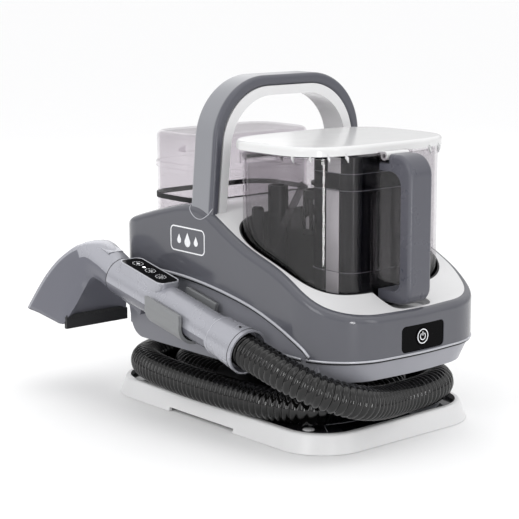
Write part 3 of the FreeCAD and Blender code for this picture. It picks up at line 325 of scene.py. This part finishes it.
def printed(name, body, shapes, origin, right, up, material, thick=0.15 * MM):
    """Thin raised print: flat faces in millimetres, laid on a surface at origin."""
    out = right.cross(up)
    verts, faces = [], []
    for shape in shapes:
        faces.append(tuple(range(len(verts), len(verts) + len(shape))))
        verts += [origin + (right * p.x + up * p.y) * MM for p in shape]
    piece = new_mesh(name, verts, faces, material, smooth=False)
    mesh = bmesh.new()
    mesh.from_mesh(piece.data)
    bmesh.ops.remove_doubles(mesh, verts=mesh.verts[:], dist=0.01 * MM)
    for face in mesh.faces:
        if face.normal.dot(out) < 0:
            face.normal_flip()
    lifted = bmesh.ops.extrude_face_region(mesh, geom=mesh.faces[:])["geom"]
    for vert in lifted:
        if isinstance(vert, bmesh.types.BMVert):
            vert.co += out * thick
    mesh.to_mesh(piece.data)
    mesh.free()
    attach(piece, body)
    return piece


def surface_of(*names):
    """The faces of CAD nodes, to lay lines and prints on."""
    verts, faces = [], []
    for name in names:
        node, first = NODES[name], len(verts)
        verts += [node.matrix_world @ v.co for v in node.data.vertices]
        faces += [[first + k for k in face.vertices] for face in node.data.polygons]
    return BVHTree.FromPolygons(verts, faces)


# ---- materials --------------------------------------------------------------------------------------
def new_material(name):
    material = bpy.data.materials.new(name)
    material.use_nodes = True
    material.node_tree.nodes.clear()
    return material, material.node_tree.nodes, material.node_tree.links


def noise(nodes, links, scale, detail=3.0, stretch=(1, 1, 1)):
    """A noise that holds still in the object's own frame."""
    place = nodes.new("ShaderNodeTexCoord")
    mapping = nodes.new("ShaderNodeMapping")
    mapping.inputs["Scale"].default_value = stretch
    links.new(place.outputs["Object"], mapping.inputs["Vector"])
    texture = nodes.new("ShaderNodeTexNoise")
    texture.inputs["Scale"].default_value = scale
    texture.inputs["Detail"].default_value = detail
    links.new(mapping.outputs["Vector"], texture.inputs["Vector"])
    return texture.outputs["Fac"]


def span(nodes, links, source, low, high):
    """A number between low and high as source goes from 0.2 to 0.8."""
    mapped = nodes.new("ShaderNodeMapRange")
    mapped.inputs["From Min"].default_value, mapped.inputs["From Max"].default_value = 0.2, 0.8
    mapped.inputs["To Min"].default_value, mapped.inputs["To Max"].default_value = low, high
    links.new(source, mapped.inputs["Value"])
    return mapped.outputs["Result"]


def two_tone(nodes, links, source, dark, light):
    ramp = nodes.new("ShaderNodeValToRGB")
    ramp.color_ramp.elements[0].position, ramp.color_ramp.elements[1].position = 0.2, 0.8
    ramp.color_ramp.elements[0].color = (*dark, 1)
    ramp.color_ramp.elements[1].color = (*light, 1)
    links.new(source, ramp.inputs["Fac"])
    return ramp.outputs["Color"]


def beyond_line(nodes, links, colour, other, axis, edge, blur):
    """Another colour where the object's own coordinate along an axis passes an edge, in mm."""
    place = nodes.new("ShaderNodeTexCoord")
    split = nodes.new("ShaderNodeSeparateXYZ")
    links.new(place.outputs["Object"], split.inputs["Vector"])
    step = nodes.new("ShaderNodeMapRange")
    step.inputs["From Min"].default_value = (edge - blur) * MM
    step.inputs["From Max"].default_value = (edge + blur) * MM
    links.new(split.outputs[axis], step.inputs["Value"])
    mix = nodes.new("ShaderNodeMixRGB")
    links.new(step.outputs["Result"], mix.inputs["Fac"])
    links.new(colour, mix.inputs["Color1"])
    mix.inputs["Color2"].default_value = (*other, 1)
    return mix.outputs["Color"]


def plastic(name, colour, rough=0.3, tone=0.05, grain=0.0, grain_size=0.6, metal=0.0, coat=0.0, sway=0.015,
            stretch=(1, 1, 1), shine=0.5, beyond=None):
    """Moulded plastic, rubber or metal: a slow drift of tone, uneven gloss and a fine grain in mm."""
    material, nodes, links = new_material(name)
    shader = nodes.new("ShaderNodeBsdfPrincipled")
    drift = noise(nodes, links, 14, 4, stretch)
    dark = [c * (1 - tone) for c in colour]
    light = [min(1, c * (1 + tone)) for c in colour]
    painted = two_tone(nodes, links, drift, dark, light)
    if beyond:
        painted = beyond_line(nodes, links, painted, *beyond)
    links.new(painted, shader.inputs["Base Color"])
    polish = noise(nodes, links, 60, 3, stretch)
    links.new(span(nodes, links, polish, rough - sway, rough + sway), shader.inputs["Roughness"])
    shader.inputs["Metallic"].default_value = metal
    shader.inputs["Specular IOR Level"].default_value = shine
    shader.inputs["Coat Weight"].default_value = coat
    shader.inputs["Coat Roughness"].default_value = 0.06
    if grain:
        bump = nodes.new("ShaderNodeBump")
        bump.inputs["Strength"].default_value = grain
        bump.inputs["Distance"].default_value = 0.1 * MM
        fine = noise(nodes, links, 1 / (grain_size * MM), 2, stretch)
        links.new(fine, bump.inputs["Height"])
        links.new(bump.outputs["Normal"], shader.inputs["Normal"])
    output = nodes.new("ShaderNodeOutputMaterial")
    links.new(shader.outputs["BSDF"], output.inputs["Surface"])
    return material


def smoky(name, tint, rough=0.03, mirror=0.025):
    """Clear tinted plastic: each face lets a tint through and mirrors more the more it turns away."""
    material, nodes, links = new_material(name)
    clear = nodes.new("ShaderNodeBsdfTransparent")
    drift = noise(nodes, links, 12, 3)
    light = [min(1, c * 1.03) for c in tint]
    dark = [c * 0.97 for c in tint]
    links.new(two_tone(nodes, links, drift, dark, light), clear.inputs["Color"])
    gloss = nodes.new("ShaderNodeBsdfGlossy")
    gloss.inputs["Color"].default_value = (1, 1, 1, 1)
    gloss.inputs["Roughness"].default_value = rough
    turned = nodes.new("ShaderNodeLayerWeight")
    turned.inputs["Blend"].default_value = 0.5
    steep = nodes.new("ShaderNodeMath")
    steep.operation = "POWER"
    steep.inputs[1].default_value = 5.0
    links.new(turned.outputs["Facing"], steep.inputs[0])
    share = nodes.new("ShaderNodeMath")
    share.operation = "MULTIPLY_ADD"
    share.inputs[1].default_value, share.inputs[2].default_value = 0.5, mirror
    links.new(steep.outputs["Value"], share.inputs[0])
    mix = nodes.new("ShaderNodeMixShader")
    links.new(share.outputs["Value"], mix.inputs["Fac"])
    links.new(clear.outputs["BSDF"], mix.inputs[1])
    links.new(gloss.outputs["BSDF"], mix.inputs[2])
    output = nodes.new("ShaderNodeOutputMaterial")
    links.new(mix.outputs["Shader"], output.inputs["Surface"])
    return material


def glow(name, colour, strength):
    material, nodes, links = new_material(name)
    shader = nodes.new("ShaderNodeBsdfPrincipled")
    wash = noise(nodes, links, 400, 2)
    dim = [c * 0.85 for c in colour]
    links.new(two_tone(nodes, links, wash, dim, colour), shader.inputs["Base Color"])
    shader.inputs["Roughness"].default_value = 0.4
    shader.inputs["Emission Color"].default_value = (*colour, 1)
    shader.inputs["Emission Strength"].default_value = strength
    output = nodes.new("ShaderNodeOutputMaterial")
    links.new(shader.outputs["BSDF"], output.inputs["Surface"])
    return material


FLOOR = plastic("floor_paper", (0.93, 0.93, 0.93), rough=0.7, tone=0.003, shine=0.1)
WHITE = plastic("white_gloss", (0.73, 0.73, 0.735), rough=0.2, tone=0.01, coat=0.1)
LID_WHITE = plastic("lid_white_gloss", (0.72, 0.72, 0.72), rough=0.16, tone=0.008, coat=0.1)
TRAY_WHITE = plastic("tray_white_satin", (0.74, 0.74, 0.742), rough=0.3, tone=0.01, grain=0.05)
SLATE = plastic("slate_gloss", (0.09, 0.0915, 0.107), rough=0.14, tone=0.03, grain=0.02, grain_size=1.2)
SKIRT = plastic("skirt_satin", (0.29, 0.293, 0.325), rough=0.26, tone=0.03, grain=0.03)
# The arch keeps its dark colour only on the front strip below Y = 1 mm and is lighter behind it: painted shade
# on the front rim and painted light on the sides, following the light from the left.
ARCH_WITH_PAINTED_SHADE = plastic("arch_satin_painted_shade", (0.085, 0.087, 0.105), rough=0.3, tone=0.03, grain=0.12, grain_size=0.35,
               beyond=((0.25, 0.255, 0.275), "Y", 1.0, 1.2))
HANDLE = plastic("handle_satin", (0.085, 0.0865, 0.105), rough=0.28, tone=0.03, grain=0.12, grain_size=0.35)
DOCK = plastic("dock_satin", (0.17, 0.172, 0.195), rough=0.3, tone=0.03, grain=0.05)
# Silver for the trims and seams, and a painted highlight where it makes the dock and parting-line beads.
BEAD_SILVER_AND_PAINTED_HIGHLIGHT = plastic("bead_silver_and_painted_highlight", (0.45, 0.455, 0.49), rough=0.22, tone=0.03, metal=0.3)
PAD = plastic("cradle_pad", (0.215, 0.22, 0.225), rough=0.5, tone=0.03, grain=0.25, grain_size=0.3)
SILVER = plastic("silver_paint", (0.38, 0.384, 0.42), rough=0.27, tone=0.03, metal=0.35)
WAND_GREY = plastic("wand_grey", (0.13, 0.132, 0.155), rough=0.26, tone=0.03)
NOZZLE_GREY = plastic("nozzle_grey", (0.14, 0.142, 0.168), rough=0.26, tone=0.03)
PIANO = plastic("piano_black", (0.002, 0.002, 0.0024), rough=0.08, tone=0.2, shine=0.04)
KEY_BLACK = plastic("key_black", (0.004, 0.004, 0.005), rough=0.2, tone=0.1, shine=0.08)
BLACK = plastic("black_moulding", (0.01, 0.01, 0.011), rough=0.4, tone=0.15, grain=0.3, grain_size=0.4,
                shine=0.2)
BAY = plastic("bay_black", (0.7, 0.7, 0.705), rough=0.35, tone=0.02,
              beyond=((0.01, 0.01, 0.011), "Y", -147.0, 1.0), shine=0.2)
CHAMBER = plastic("chamber_black", (0.004, 0.004, 0.006), rough=0.1, tone=0.2, shine=0.12)
RUBBER = plastic("soft_rubber", (0.012, 0.012, 0.013), rough=0.7, tone=0.15, grain=0.4, grain_size=0.4)
HOSE = plastic("hose_gloss", (0.003, 0.0029, 0.0028), rough=0.1, tone=0.2, grain=0.03, shine=0.5)
BRISTLE = plastic("bristle_nylon", (0.02, 0.02, 0.022), rough=0.5, tone=0.3, sway=0.1)
STEEL = plastic("zinc_steel", (0.5, 0.5, 0.52), rough=0.3, tone=0.08, metal=1.0, grain=0.1,
                stretch=(1, 1, 12))
COPPER = plastic("laminations", (0.45, 0.22, 0.12), rough=0.35, tone=0.2, metal=0.9, grain=0.4,
                 stretch=(1, 1, 20))
BOARD = plastic("circuit_board", (0.02, 0.12, 0.05), rough=0.35, tone=0.2, grain=0.2)
TANK = smoky("tank_smoke", (0.84, 0.828, 0.84))
CLEAN = smoky("clean_tank_smoke", (0.86, 0.845, 0.86), mirror=0.04)
PANEL_SMOKE = smoky("smoke_panel", (0.5, 0.48, 0.5), mirror=0.04)
INSERT = smoky("insert_smoke", (0.38, 0.38, 0.4), rough=0.06, mirror=0.04)
TUBING = smoky("clear_tubing", (0.9, 0.92, 0.93), rough=0.1)
# The white print gives off a faint light of its own: a painted glow, since the printed marks are no lamp.
PRINT_WITH_PAINTED_GLOW = glow("white_print_painted_glow", (0.85, 0.86, 0.88), 0.1)
LED = glow("led_white", (0.95, 0.97, 1.0), 1.5)

NODE_MATERIALS = {
    TRAY_WHITE: ["base_tray"], INSERT: ["base_insert"], BLACK: [
        "bottom_cover", "pedestal", "clean_bay", "rear_grille", "hose_port", "suction_riser",
        "air_duct", "wand_tube", "spray_tip", "float_cage", "fan_impeller", "pump_body"],
    BAY: ["tank_bay"],
    RUBBER: ["rubber_feet", "cord_gland", "motor_mount", "lid_seal", "clean_tank_gasket", "clean_valve"],
    STEEL: ["housing_screws", "motor_housing", "motor_rotor", "pump_plunger"], COPPER: ["motor_stator"],
    SKIRT: ["lower_housing"], SLATE: ["upper_housing"], WHITE: ["deck_trim", "arch_liner", "float_ball"],
    ARCH_WITH_PAINTED_SHADE: ["arch_shell"], HANDLE: ["tank_handle"], PIANO: ["power_panel", "wand_panel", "power_button"],
    BOARD: ["control_board"], DOCK: ["dock_bracket"], PAD: ["wand_cradle"], TUBING: ["solution_tube"],
    TANK: ["dirty_tank"], CHAMBER: ["separator_chamber", "tank_tubes", "chamber_cap"],
    LID_WHITE: ["dirty_tank_lid"], CLEAN: ["clean_tank", "clean_tank_lid"],
    SILVER: ["wand_upper_shell", "collar_ring", "hose_cuff", "nozzle_spine", "nozzle_latch"],
    WAND_GREY: ["wand_lower_shell", "spray_trigger"], NOZZLE_GREY: ["nozzle_hood"],
    KEY_BLACK: ["mode_button_1", "mode_button_2", "mode_button_3"], BRISTLE: ["nozzle_brush"]}


def dress_cad_nodes():
    """Give each CAD piece its material."""
    for material, names in NODE_MATERIALS.items():
        for name in names:
            node = NODES[name]
            node.data.materials.clear()
            node.data.materials.append(material)
            node.data.shade_smooth()
            node.data.set_sharp_from_angle(angle=math.radians(32))


# ---- hose -------------------------------------------------------------------------------------------
HOSE_D = 0.032
RIB_PITCH = 0.0066
RIB_DEPTH = 0.0026
HOSE_ROUTE = [
    (-125, -86.4, 88.9), (-125, -106, 84.8), (-122, -140, 75), (-107, -167, 63), (-75, -179, 51),
    (-38, -169, 41), (4, -155, 35.5), (46, -150, 34.8), (83, -136, 34.8), (98, -100, 34.8),
    (101, -52, 34.8), (98, 0, 34.8), (100, 52, 34.8), (98, 100, 34.8), (82, 137, 34.8), (46, 152, 34.8),
    (0, 150, 34.8), (-46, 152, 34.8), (-83, 136, 34.8), (-99, 100, 34.8), (-105, 52, 34.8),
    (-107, 4, 34.8), (-104, -46, 34.8), (-98, -90, 34.8), (-80, -124, 33), (-44, -121, 30.6),
    (0, -114, 30.6), (40, -113, 30.6), (62, -86, 30.6), (64, -44, 30.6), (62, 0, 30.6), (64, 44, 30.6),
    (62, 87, 30.6), (38, 114, 30.6), (0, 113, 30.6), (-38, 114, 30.6), (-62, 87, 30.6), (-63, 52, 30.6),
    (-63, 22, 30.6)]


def make_hose():
    """The corrugated suction hose, from the wand's cuff round the base to the port in the pedestal."""
    route = [Vector(p) * MM for p in HOSE_ROUTE]
    rings_per_rib = 8
    line = even_points(spline_points(route, 24), RIB_PITCH / rings_per_rib)
    radii = []
    for i in range(len(line)):
        crest = abs(math.cos(math.pi * i / rings_per_rib)) ** 0.7
        radii.append(HOSE_D / 2 - RIB_DEPTH * (1 - crest))
    hose = tube_mesh("hose_ribbed", line, radii, HOSE, around=36)
    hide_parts("suction_hose")
    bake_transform(hose)
    return hose


# ---- body lines and prints --------------------------------------------------------------------------
DOCK_LINE = [(-150, 84), (-132, 101), (-80, 121), (-26, 132), (30, 138), (81, 139), (118, 139)]
PART_LINE_Z = 88.0
HULL_CORNERS = [(-106, -183), (0, -191), (106, -183), (101, 157), (-101, 157)]
HULL_RADII = [62, 300, 62, 38, 38]


def make_hull_lines():
    """The bright bead along the dock's upper edge and round the hull's parting line, a painted highlight where
    the step's edge catches the light, and the dark gap below.
    """
    skin = surface_of("upper_housing")
    dock = []
    for point in through_points([Vector((0, y, z)) for y, z in reversed(DOCK_LINE)], 8):
        if point.z < PART_LINE_Z + 1.5:
            break
        hit = skin.ray_cast(Vector((-200, point.y, point.z + 2)) * MM, Vector((1, 0, 0)))[0]
        dock.append(Vector((hit.x / MM - 0.2, point.y, point.z + 0.8)))
    outline = [Vector((p.x, p.y, PART_LINE_Z + 0.4)) for p in rounded_outline(HULL_CORNERS, HULL_RADII, 16)]
    start = min(range(len(outline)), key=lambda i: (outline[i] - dock[-1]).length)
    around = outline[start:] + outline[:start]
    around = [p for p in around if p.y < 120 or p.x > -60]
    # The silver beads are painted highlight on the edge of the step; the black tubes are the gap under it.
    for name, line, radius, shift, sink, material in (
            ("dock_highlight_bead", dock, 1.5, 0.0, 0.0, BEAD_SILVER_AND_PAINTED_HIGHLIGHT), ("part_highlight_bead", around, 1.1, 0.0, 0.3, BEAD_SILVER_AND_PAINTED_HIGHLIGHT),
            ("dock_gap", dock, 0.8, -2.2, 0.4, BLACK), ("part_gap", around, 0.8, -1.8, 1.0, BLACK)):
        middle = Vector((0, 0, 0))
        path = []
        for p in line:
            inward = Vector((middle.x - p.x, 0 if abs(p.y) < 120 else middle.y - p.y, 0)).normalized()
            path.append((p + inward * sink + Vector((0, 0, shift))) * MM)
        path = even_points(path, 3 * MM)
        bead = tube_mesh(name, path, [radius * MM] * len(path), material, around=12)
        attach(bead, "machine")


def make_arch_seams():
    """The rounded seam where each side of the arch runs into the hull."""
    skin = surface_of("upper_housing", "arch_shell")
    for side, tag in ((-1, "near"), (1, "far")):
        path = []
        for point in arc(17, 180, 360, 30, (13.5, 216)):
            hit = skin.ray_cast(Vector((side * 200, point.x, point.y)) * MM, Vector((-side, 0, 0)))[0]
            if hit:
                path.append(hit)
        seam = tube_mesh("arch_seam_" + tag, path, [0.5 * MM] * len(path), BEAD_SILVER_AND_PAINTED_HIGHLIGHT, around=8)
        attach(seam, "machine")


def make_emblem():
    """A generic mark of three drops in a rounded frame, on the near side."""
    skin = surface_of("upper_housing")
    low, high = (skin.ray_cast(Vector((-200, y, 176)) * MM, Vector((1, 0, 0)))[0] for y in (5, 59))
    right = (low - high).normalized()
    tall = Vector((0, 0, 1))
    origin = (low + high) / 2 + right.cross(tall) * 0.05 * MM
    frame = stroke(rounded_box_outline(27, 12, 5), 1.3, closed=True)
    drops = droplet(4.6, (0, -2.4)) + droplet(3.1, (-13.5, -1.6)) + droplet(3.1, (13.5, -1.6))
    printed("emblem", "machine", frame + drops, origin, right, tall, PRINT_WITH_PAINTED_GLOW)


def make_power_icon():
    """The ring and power sign printed on the power key."""
    glyph = ring(6.6, 0.9) + stroke(arc(3.3, 125, 415), 0.8)
    glyph += stroke([Vector((0, 0.6)), Vector((0, 4.4))], 0.8)
    printed("power_icon", "power_key", glyph, Vector((0, -188.65, 103)) * MM, Vector((1, 0, 0)),
            Vector((0, 0, 1)), PRINT_WITH_PAINTED_GLOW)


# ---- wand -------------------------------------------------------------------------------------------
WAND_SEAM = Vector((-125, 113, 131)) * MM
WAND_TILT = math.radians(11.92)
ALONG = Vector((0, math.cos(WAND_TILT), math.sin(WAND_TILT)))
ABOVE = Vector((0, -math.sin(WAND_TILT), math.cos(WAND_TILT)))
ACROSS = Vector((1, 0, 0))
PANEL_S0, PANEL_S1, PANEL_HALF_X, PANEL_H = -78.0, -11.0, 12.0, 22.4
BUTTON_S = (-63.0, -45.5, -24.5)
CUFF_MOUTH = -203.5


BOOT_LENGTH = 11.5


def wand_point(x, s, h):
    """A point in the wand's own frame, in mm: across it, along it and above its axis."""
    return WAND_SEAM + (ACROSS * x + ALONG * s + ABOVE * h) * MM


def wand_ring(radius, s, count=64):
    """Points of a circle round the wand."""
    return [wand_point(radius * math.cos(a), s, radius * math.sin(a))
            for a in (math.tau * i / count for i in range(count))]


def make_hose_boot():
    """The ribbed rubber end that the cuff holds; the hose starts where it stops, at the cuff's mouth."""
    ends = [wand_point(0, CUFF_MOUTH + BOOT_LENGTH, 0), wand_point(0, CUFF_MOUTH, 0)]
    line = even_points(ends, RIB_PITCH / 8)
    radii = [HOSE_D / 2 - RIB_DEPTH * (1 - abs(math.cos(math.pi * i / 8)) ** 0.7) for i in range(len(line))]
    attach(tube_mesh("hose_boot", line, radii, HOSE, around=36), "cuff")


def make_wand_details():
    """The key panel's rim, the icons on the keys, the lamp, and the cuff's rings."""
    middle, half = (PANEL_S0 + PANEL_S1) / 2, (PANEL_S1 - PANEL_S0) / 2
    edge = rounded_box_outline(PANEL_HALF_X + 0.9, half + 0.9, 6.9)
    rim = loop_tube("panel_rim", [wand_point(p.x, middle + p.y, PANEL_H - 0.5) for p in edge], 1.0 * MM, BEAD_SILVER_AND_PAINTED_HIGHLIGHT)
    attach(rim, "wand")
    glyphs = [stroke(arc(2.6, 200, 340, 10, (0, 2.2)), 0.5) + stroke(arc(2.6, 200, 340, 10, (0, 0.2)), 0.5),
              stroke([Vector((-2.4, -1.6)), Vector((0, 1.8)), Vector((2.4, -1.6))], 0.5)
              + ring(0.9, 0.5, (0, -2)),
              droplet(1.6, (0, -0.8))]
    for i, s in enumerate(BUTTON_S):
        dashes = []
        for k in range(12):
            dashes += stroke(arc(5.2, k * 30, k * 30 + 19, 4), 0.55)
        printed("mode_icon_%d" % (i + 1), "key_%d" % (i + 1), dashes + glyphs[i],
                wand_point(0, s, 22.62), ACROSS,
                ALONG, PRINT_WITH_PAINTED_GLOW)
    lamp = tube_mesh("wand_led", [wand_point(0, -35, PANEL_H - 0.2), wand_point(0, -35, PANEL_H + 0.2),
                                  wand_point(0, -35, PANEL_H + 0.5)],
                     [1.7 * MM, 1.7 * MM, 0.9 * MM], LED, around=20)
    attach(lamp, "wand")
    for name, s, radius, thick, material in (("cuff_seam", CUFF_MOUTH + 5, 21.4, 0.35, BLACK),
                                             ("cuff_collar", CUFF_MOUTH + 39.5, 19.15, 0.5, BEAD_SILVER_AND_PAINTED_HIGHLIGHT),
                                             ("cuff_rim", CUFF_MOUTH + 0.7, 20.9, 0.7, BEAD_SILVER_AND_PAINTED_HIGHLIGHT)):
        line = loop_tube(name, wand_ring(radius, s), thick * MM, material)
        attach(line, "cuff")
    pin = Vector((-math.sin(0.15), math.cos(0.15)))
    at = wand_point(pin.x * 21.4, CUFF_MOUTH + 12, pin.y * 21.4)
    out = ACROSS * pin.x + ABOVE * pin.y
    hole = tube_mesh("cuff_pinhole", [at, at + out * 0.35 * MM], [1.3 * MM, 1.3 * MM], BLACK, around=16)
    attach(hole, "cuff")
    seam = loop_tube("nozzle_seam", wand_ring(18.7, 0.2), 0.55 * MM, BLACK)
    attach(seam, "wand")


# ---- nozzle -----------------------------------------------------------------------------------------
# Cross-sections from the wand to the mouth: middle (y, z), pitch in degrees, half width, half depth,
# and how far the section has turned from a round neck into a box with a hollow front.
NOZZLE_SECTIONS = [((113.5, 131.1), 11.92, 18.6, 18.6, 0.0), ((131, 138.8), -5, 19.6, 19.8, 0.1),
                   ((148, 143), -30, 22, 21.8, 0.45), ((163, 131), -52, 27, 26, 0.85),
                   ((178, 111), -68, 33, 30.5, 1.0), ((196, 82), -84, 41.5, 34, 1.0)]
NOZZLE_STEPS = 36


def nozzle_outline(width, depth, boxy):
    """Half of a section from its back to its front: the back, a side panel, an edge, a hollow front."""
    turns = (0, 16, 32, 45, 58, 76, 94, 112, 130, 146, 162, 180)
    neck = [(math.sin(math.radians(k)) * width, math.cos(math.radians(k)) * depth) for k in turns]
    folded = [(0, depth), (width * 0.55, depth), (width * 0.86, depth * 0.99), (width * 0.975, depth * 0.94),
              (width, depth * 0.8), (width * 0.965, depth * 0.3), (width * 0.985, -depth * 0.4),
              (width, -depth * 0.86), (width * 0.95, -depth), (width * 0.72, -depth * 0.9),
              (width * 0.36, -depth * 0.84), (0, -depth * 0.82)]
    return [Vector((a[0] + (b[0] - a[0]) * boxy, a[1] + (b[1] - a[1]) * boxy)) for a, b in zip(neck, folded)]


def make_nozzle():
    """The suction head: a neck that opens into a wide wedge with a bright spine over its back."""
    steps = NOZZLE_STEPS // 4
    centres = through_points([Vector((0, y, z)) for (y, z), *_ in NOZZLE_SECTIONS], steps)
    shapes = [Vector((pitch, width, depth)) for _, pitch, width, depth, _ in NOZZLE_SECTIONS]
    sizes = through_points(shapes, steps)
    turned = through_points([Vector((boxy, 0, 0)) for *_, boxy in NOZZLE_SECTIONS], steps)
    rows = []
    for centre, size, turn in zip(centres, sizes, turned):
        pitch = math.radians(size.x)
        out = Vector((0, -math.sin(pitch), math.cos(pitch)))
        half = nozzle_outline(size.y, size.z, min(1, max(0, turn.x)))
        loop = half + [Vector((-p.x, p.y)) for p in reversed(half[1:-1])]
        rows.append([(Vector((-125, centre.y, centre.z)) + ACROSS * p.x + out * p.y) * MM for p in loop])
    count = len(rows[0])
    verts = [p for row in rows for p in row]
    faces, tones = [], []
    neck = len(rows) * 0.42
    for i in range(len(rows) - 1):
        for k in range(count):
            faces.append((i * count + k, i * count + (k + 1) % count, (i + 1) * count + (k + 1) % count,
                          (i + 1) * count + k))
            slot = min(k, count - 1 - k)    # which face of the half outline this is
            tones.append(0 if slot < 4 or (i < neck and slot < 5) else 1)
    head = new_mesh("nozzle_head", verts, faces, SILVER)
    head.data.materials.append(NOZZLE_GREY)
    for face, tone in zip(head.data.polygons, tones):
        face.material_index = tone
    head.data.set_sharp_from_angle(angle=math.radians(24))
    wall = head.modifiers.new("wall", "SOLIDIFY")
    wall.thickness, wall.offset = 2.2 * MM, 1.0
    mesh = bmesh.new()
    mesh.from_mesh(head.data)
    bmesh.ops.recalc_face_normals(mesh, faces=mesh.faces[:])
    outward = sum(1 if f.normal.dot(f.calc_center_median() - Vector((-0.125, f.calc_center_median().y, 0.12)))
                  > 0 else -1 for f in mesh.faces)
    if outward < 0:
        bmesh.ops.reverse_faces(mesh, faces=mesh.faces[:])
    mesh.to_mesh(head.data)
    mesh.free()
    wall.offset = -1.0
    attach(head, "nozzle")
    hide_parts("nozzle_hood", "nozzle_spine")


def make_jet():
    """The spray jet inside the mouth."""
    line = [Vector((-125, y, z)) * MM for y, z in ((171, 113), (176, 104), (179, 98))]
    jet = tube_mesh("spray_jet", line, [4 * MM, 4 * MM, 2.4 * MM], BLACK, around=20)
    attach(jet, "nozzle")
    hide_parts("spray_tip")


def make_brush():
    """Two rows of short stiff bristles under the mouth's inner edge."""
    verts, faces = [], []
    for row, y in enumerate((158.4, 160.6)):
        for i in range(44):
            x = -162.2 + (i + 0.5 * row) * 1.7
            lean = 0.5 * math.sin(i * 2.4 + row)
            first = len(verts)
            for z, radius, drift in ((88, 0.72, 0), (80, 0.7, lean * 0.3), (74.3, 0.5, lean)):
                for k in range(6):
                    angle = math.tau * k / 6
                    place = Vector((x + drift + radius * math.cos(angle), y + radius * math.sin(angle), z))
                    verts.append(place * MM)
            for ring_start in (first, first + 6):
                for k in range(6):
                    faces.append((ring_start + k, ring_start + (k + 1) % 6, ring_start + 6 + (k + 1) % 6,
                                  ring_start + 6 + k))
            faces.append(tuple(range(first + 12, first + 18)))
    brush = new_mesh("nozzle_bristles", verts, faces, BRISTLE)
    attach(brush, "nozzle")


# ---- dirty tank -------------------------------------------------------------------------------------
def tank_edge(angle, grow, z):
    """A point of the tank's squared-off oval plan."""
    c, s = math.cos(angle), math.sin(angle)
    x = math.copysign(abs(c) ** (2 / 3.6), c) * (92 + grow)
    y = math.copysign(abs(s) ** (2 / 3.6), s) * (66.5 + grow)
    return Vector((x, -77 + y, z)) * MM


def make_tank_details():
    """Tabs under the lid, the chamber's seams and bright divider, and the panels and post inside."""
    for i, degrees in enumerate((196, 214, 232, 248, 292, 308, 326, 344)):
        angle = math.radians(degrees)
        at = tank_edge(angle, 1.6, 268.5)
        along = (tank_edge(angle + 0.02, 1.6, 266.5) - at).normalized()
        tab = solid_box("lid_tab_%d" % i, at, (2.2 * MM, 1.0 * MM, 2.0 * MM), WHITE,
                        axes=(along, Vector((along.y, -along.x, 0)), Vector((0, 0, 1))))
        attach(tab, "tank_lid")
    for name, z, grow in (("chamber_seam_low", 158, 0.3), ("chamber_seam_top", 251, 0.3),
                          ("chamber_seam_mid", 235.6, 3.2)):
        outline = rounded_box_outline(42 + grow, 29.5 + grow, 16 + grow)
        around_chamber = [Vector((p.x, p.y - 104.5, z)) * MM for p in outline]
        seam = loop_tube(name, around_chamber, 0.35 * MM, DOCK, around=8)
        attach(seam, "tank")
    for name, y, z0, z1 in (("divider_low", -111, 130, 158), ("divider", -111, 158.6, 236),
                            ("divider_top", -113, 251.5, 266)):
        strip = solid_box(name, Vector((-42.5, y, (z0 + z1) / 2)) * MM, (0.5 * MM, 8.5 * MM, (z1 - z0) / 2 * MM),
                          WHITE, bevel=0.4 * MM)
        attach(strip, "tank")
    for i, (x, y, half, z0, z1) in enumerate(((-14, -136.2, 4, 131, 232), (2, -136.4, 6, 131, 236),
                                              (20, -136.4, 7, 190, 236), (22, -136.4, 6, 131, 186),
                                              (35, -135.8, 3, 150, 236))):
        panel = solid_box("chamber_rib_%d" % i, Vector((x, y, (z0 + z1) / 2)) * MM,
                          (half * MM, 1.0 * MM, (z1 - z0) / 2 * MM), PANEL_SMOKE, bevel=0.6 * MM)
        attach(panel, "tank")
    post = tube_mesh("inlet_post", [Vector((-60, -24, z)) * MM for z in (129.2, 205, 209, 211)],
                     [6 * MM, 6 * MM, 6 * MM, 4.4 * MM], CHAMBER, around=28)
    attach(post, "tank")
    fin = solid_box("baffle", Vector((-66, -62, 190)) * MM, (0.9 * MM, 4 * MM, 62 * MM), PANEL_SMOKE,
                    bevel=0.5 * MM, axes=(Vector((1, 0, 0)), Vector((0, 0.83, 0.56)), Vector((0, -0.56, 0.83))))
    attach(fin, "tank")


# ---- base -------------------------------------------------------------------------------------------
def make_base_details():
    """Moulded seams, a clear patch and a round boss on the smoky insert, the boss coloured white as a painted
    highlight on the bump.
    """
    floor_z = 13.6
    seams = [[(-46, -99), (-82, -152)], [(20, -134), (-4, -158)],
             [(-84, -74), (-76, -98), (-60, -117), (-42, -125), (-22, -129)]]
    for i, route in enumerate(seams):
        path = [Vector((x, y, floor_z)) * MM for x, y in route]
        path = even_points(through_points(path, 6) if len(path) > 2 else path, 3 * MM)
        seam = tube_mesh("insert_seam_%d" % i, path, [0.45 * MM] * len(path), BEAD_SILVER_AND_PAINTED_HIGHLIGHT, around=8)
        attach(seam, "machine")
    patch = [(29, -142), (30, -158), (58, -150), (76, -140), (70, -128)]
    shape = [[Vector(p) for p in patch]]
    printed("insert_patch", "machine", shape, Vector((0, 0, floor_z)) * MM, Vector((1, 0, 0)), Vector((0, 1, 0)),
            BEAD_SILVER_AND_PAINTED_HIGHLIGHT, thick=0.5 * MM)
    # A real small bump, coloured white: a painted highlight where the light catches it.
    boss = tube_mesh("insert_boss_painted_highlight", [Vector((-80, -120, z)) * MM for z in (13.4, 14.6, 15.2)],
                     [6 * MM, 5.2 * MM, 3 * MM], WHITE, around=28)
    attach(boss, "machine")


# ---- build ------------------------------------------------------------------------------------------
make_camera()
make_studio()
dress_cad_nodes()
make_hose()
make_hull_lines()
make_arch_seams()
make_emblem()
make_power_icon()
make_hose_boot()
make_wand_details()
make_nozzle()
make_jet()
make_brush()
make_tank_details()
make_base_details()
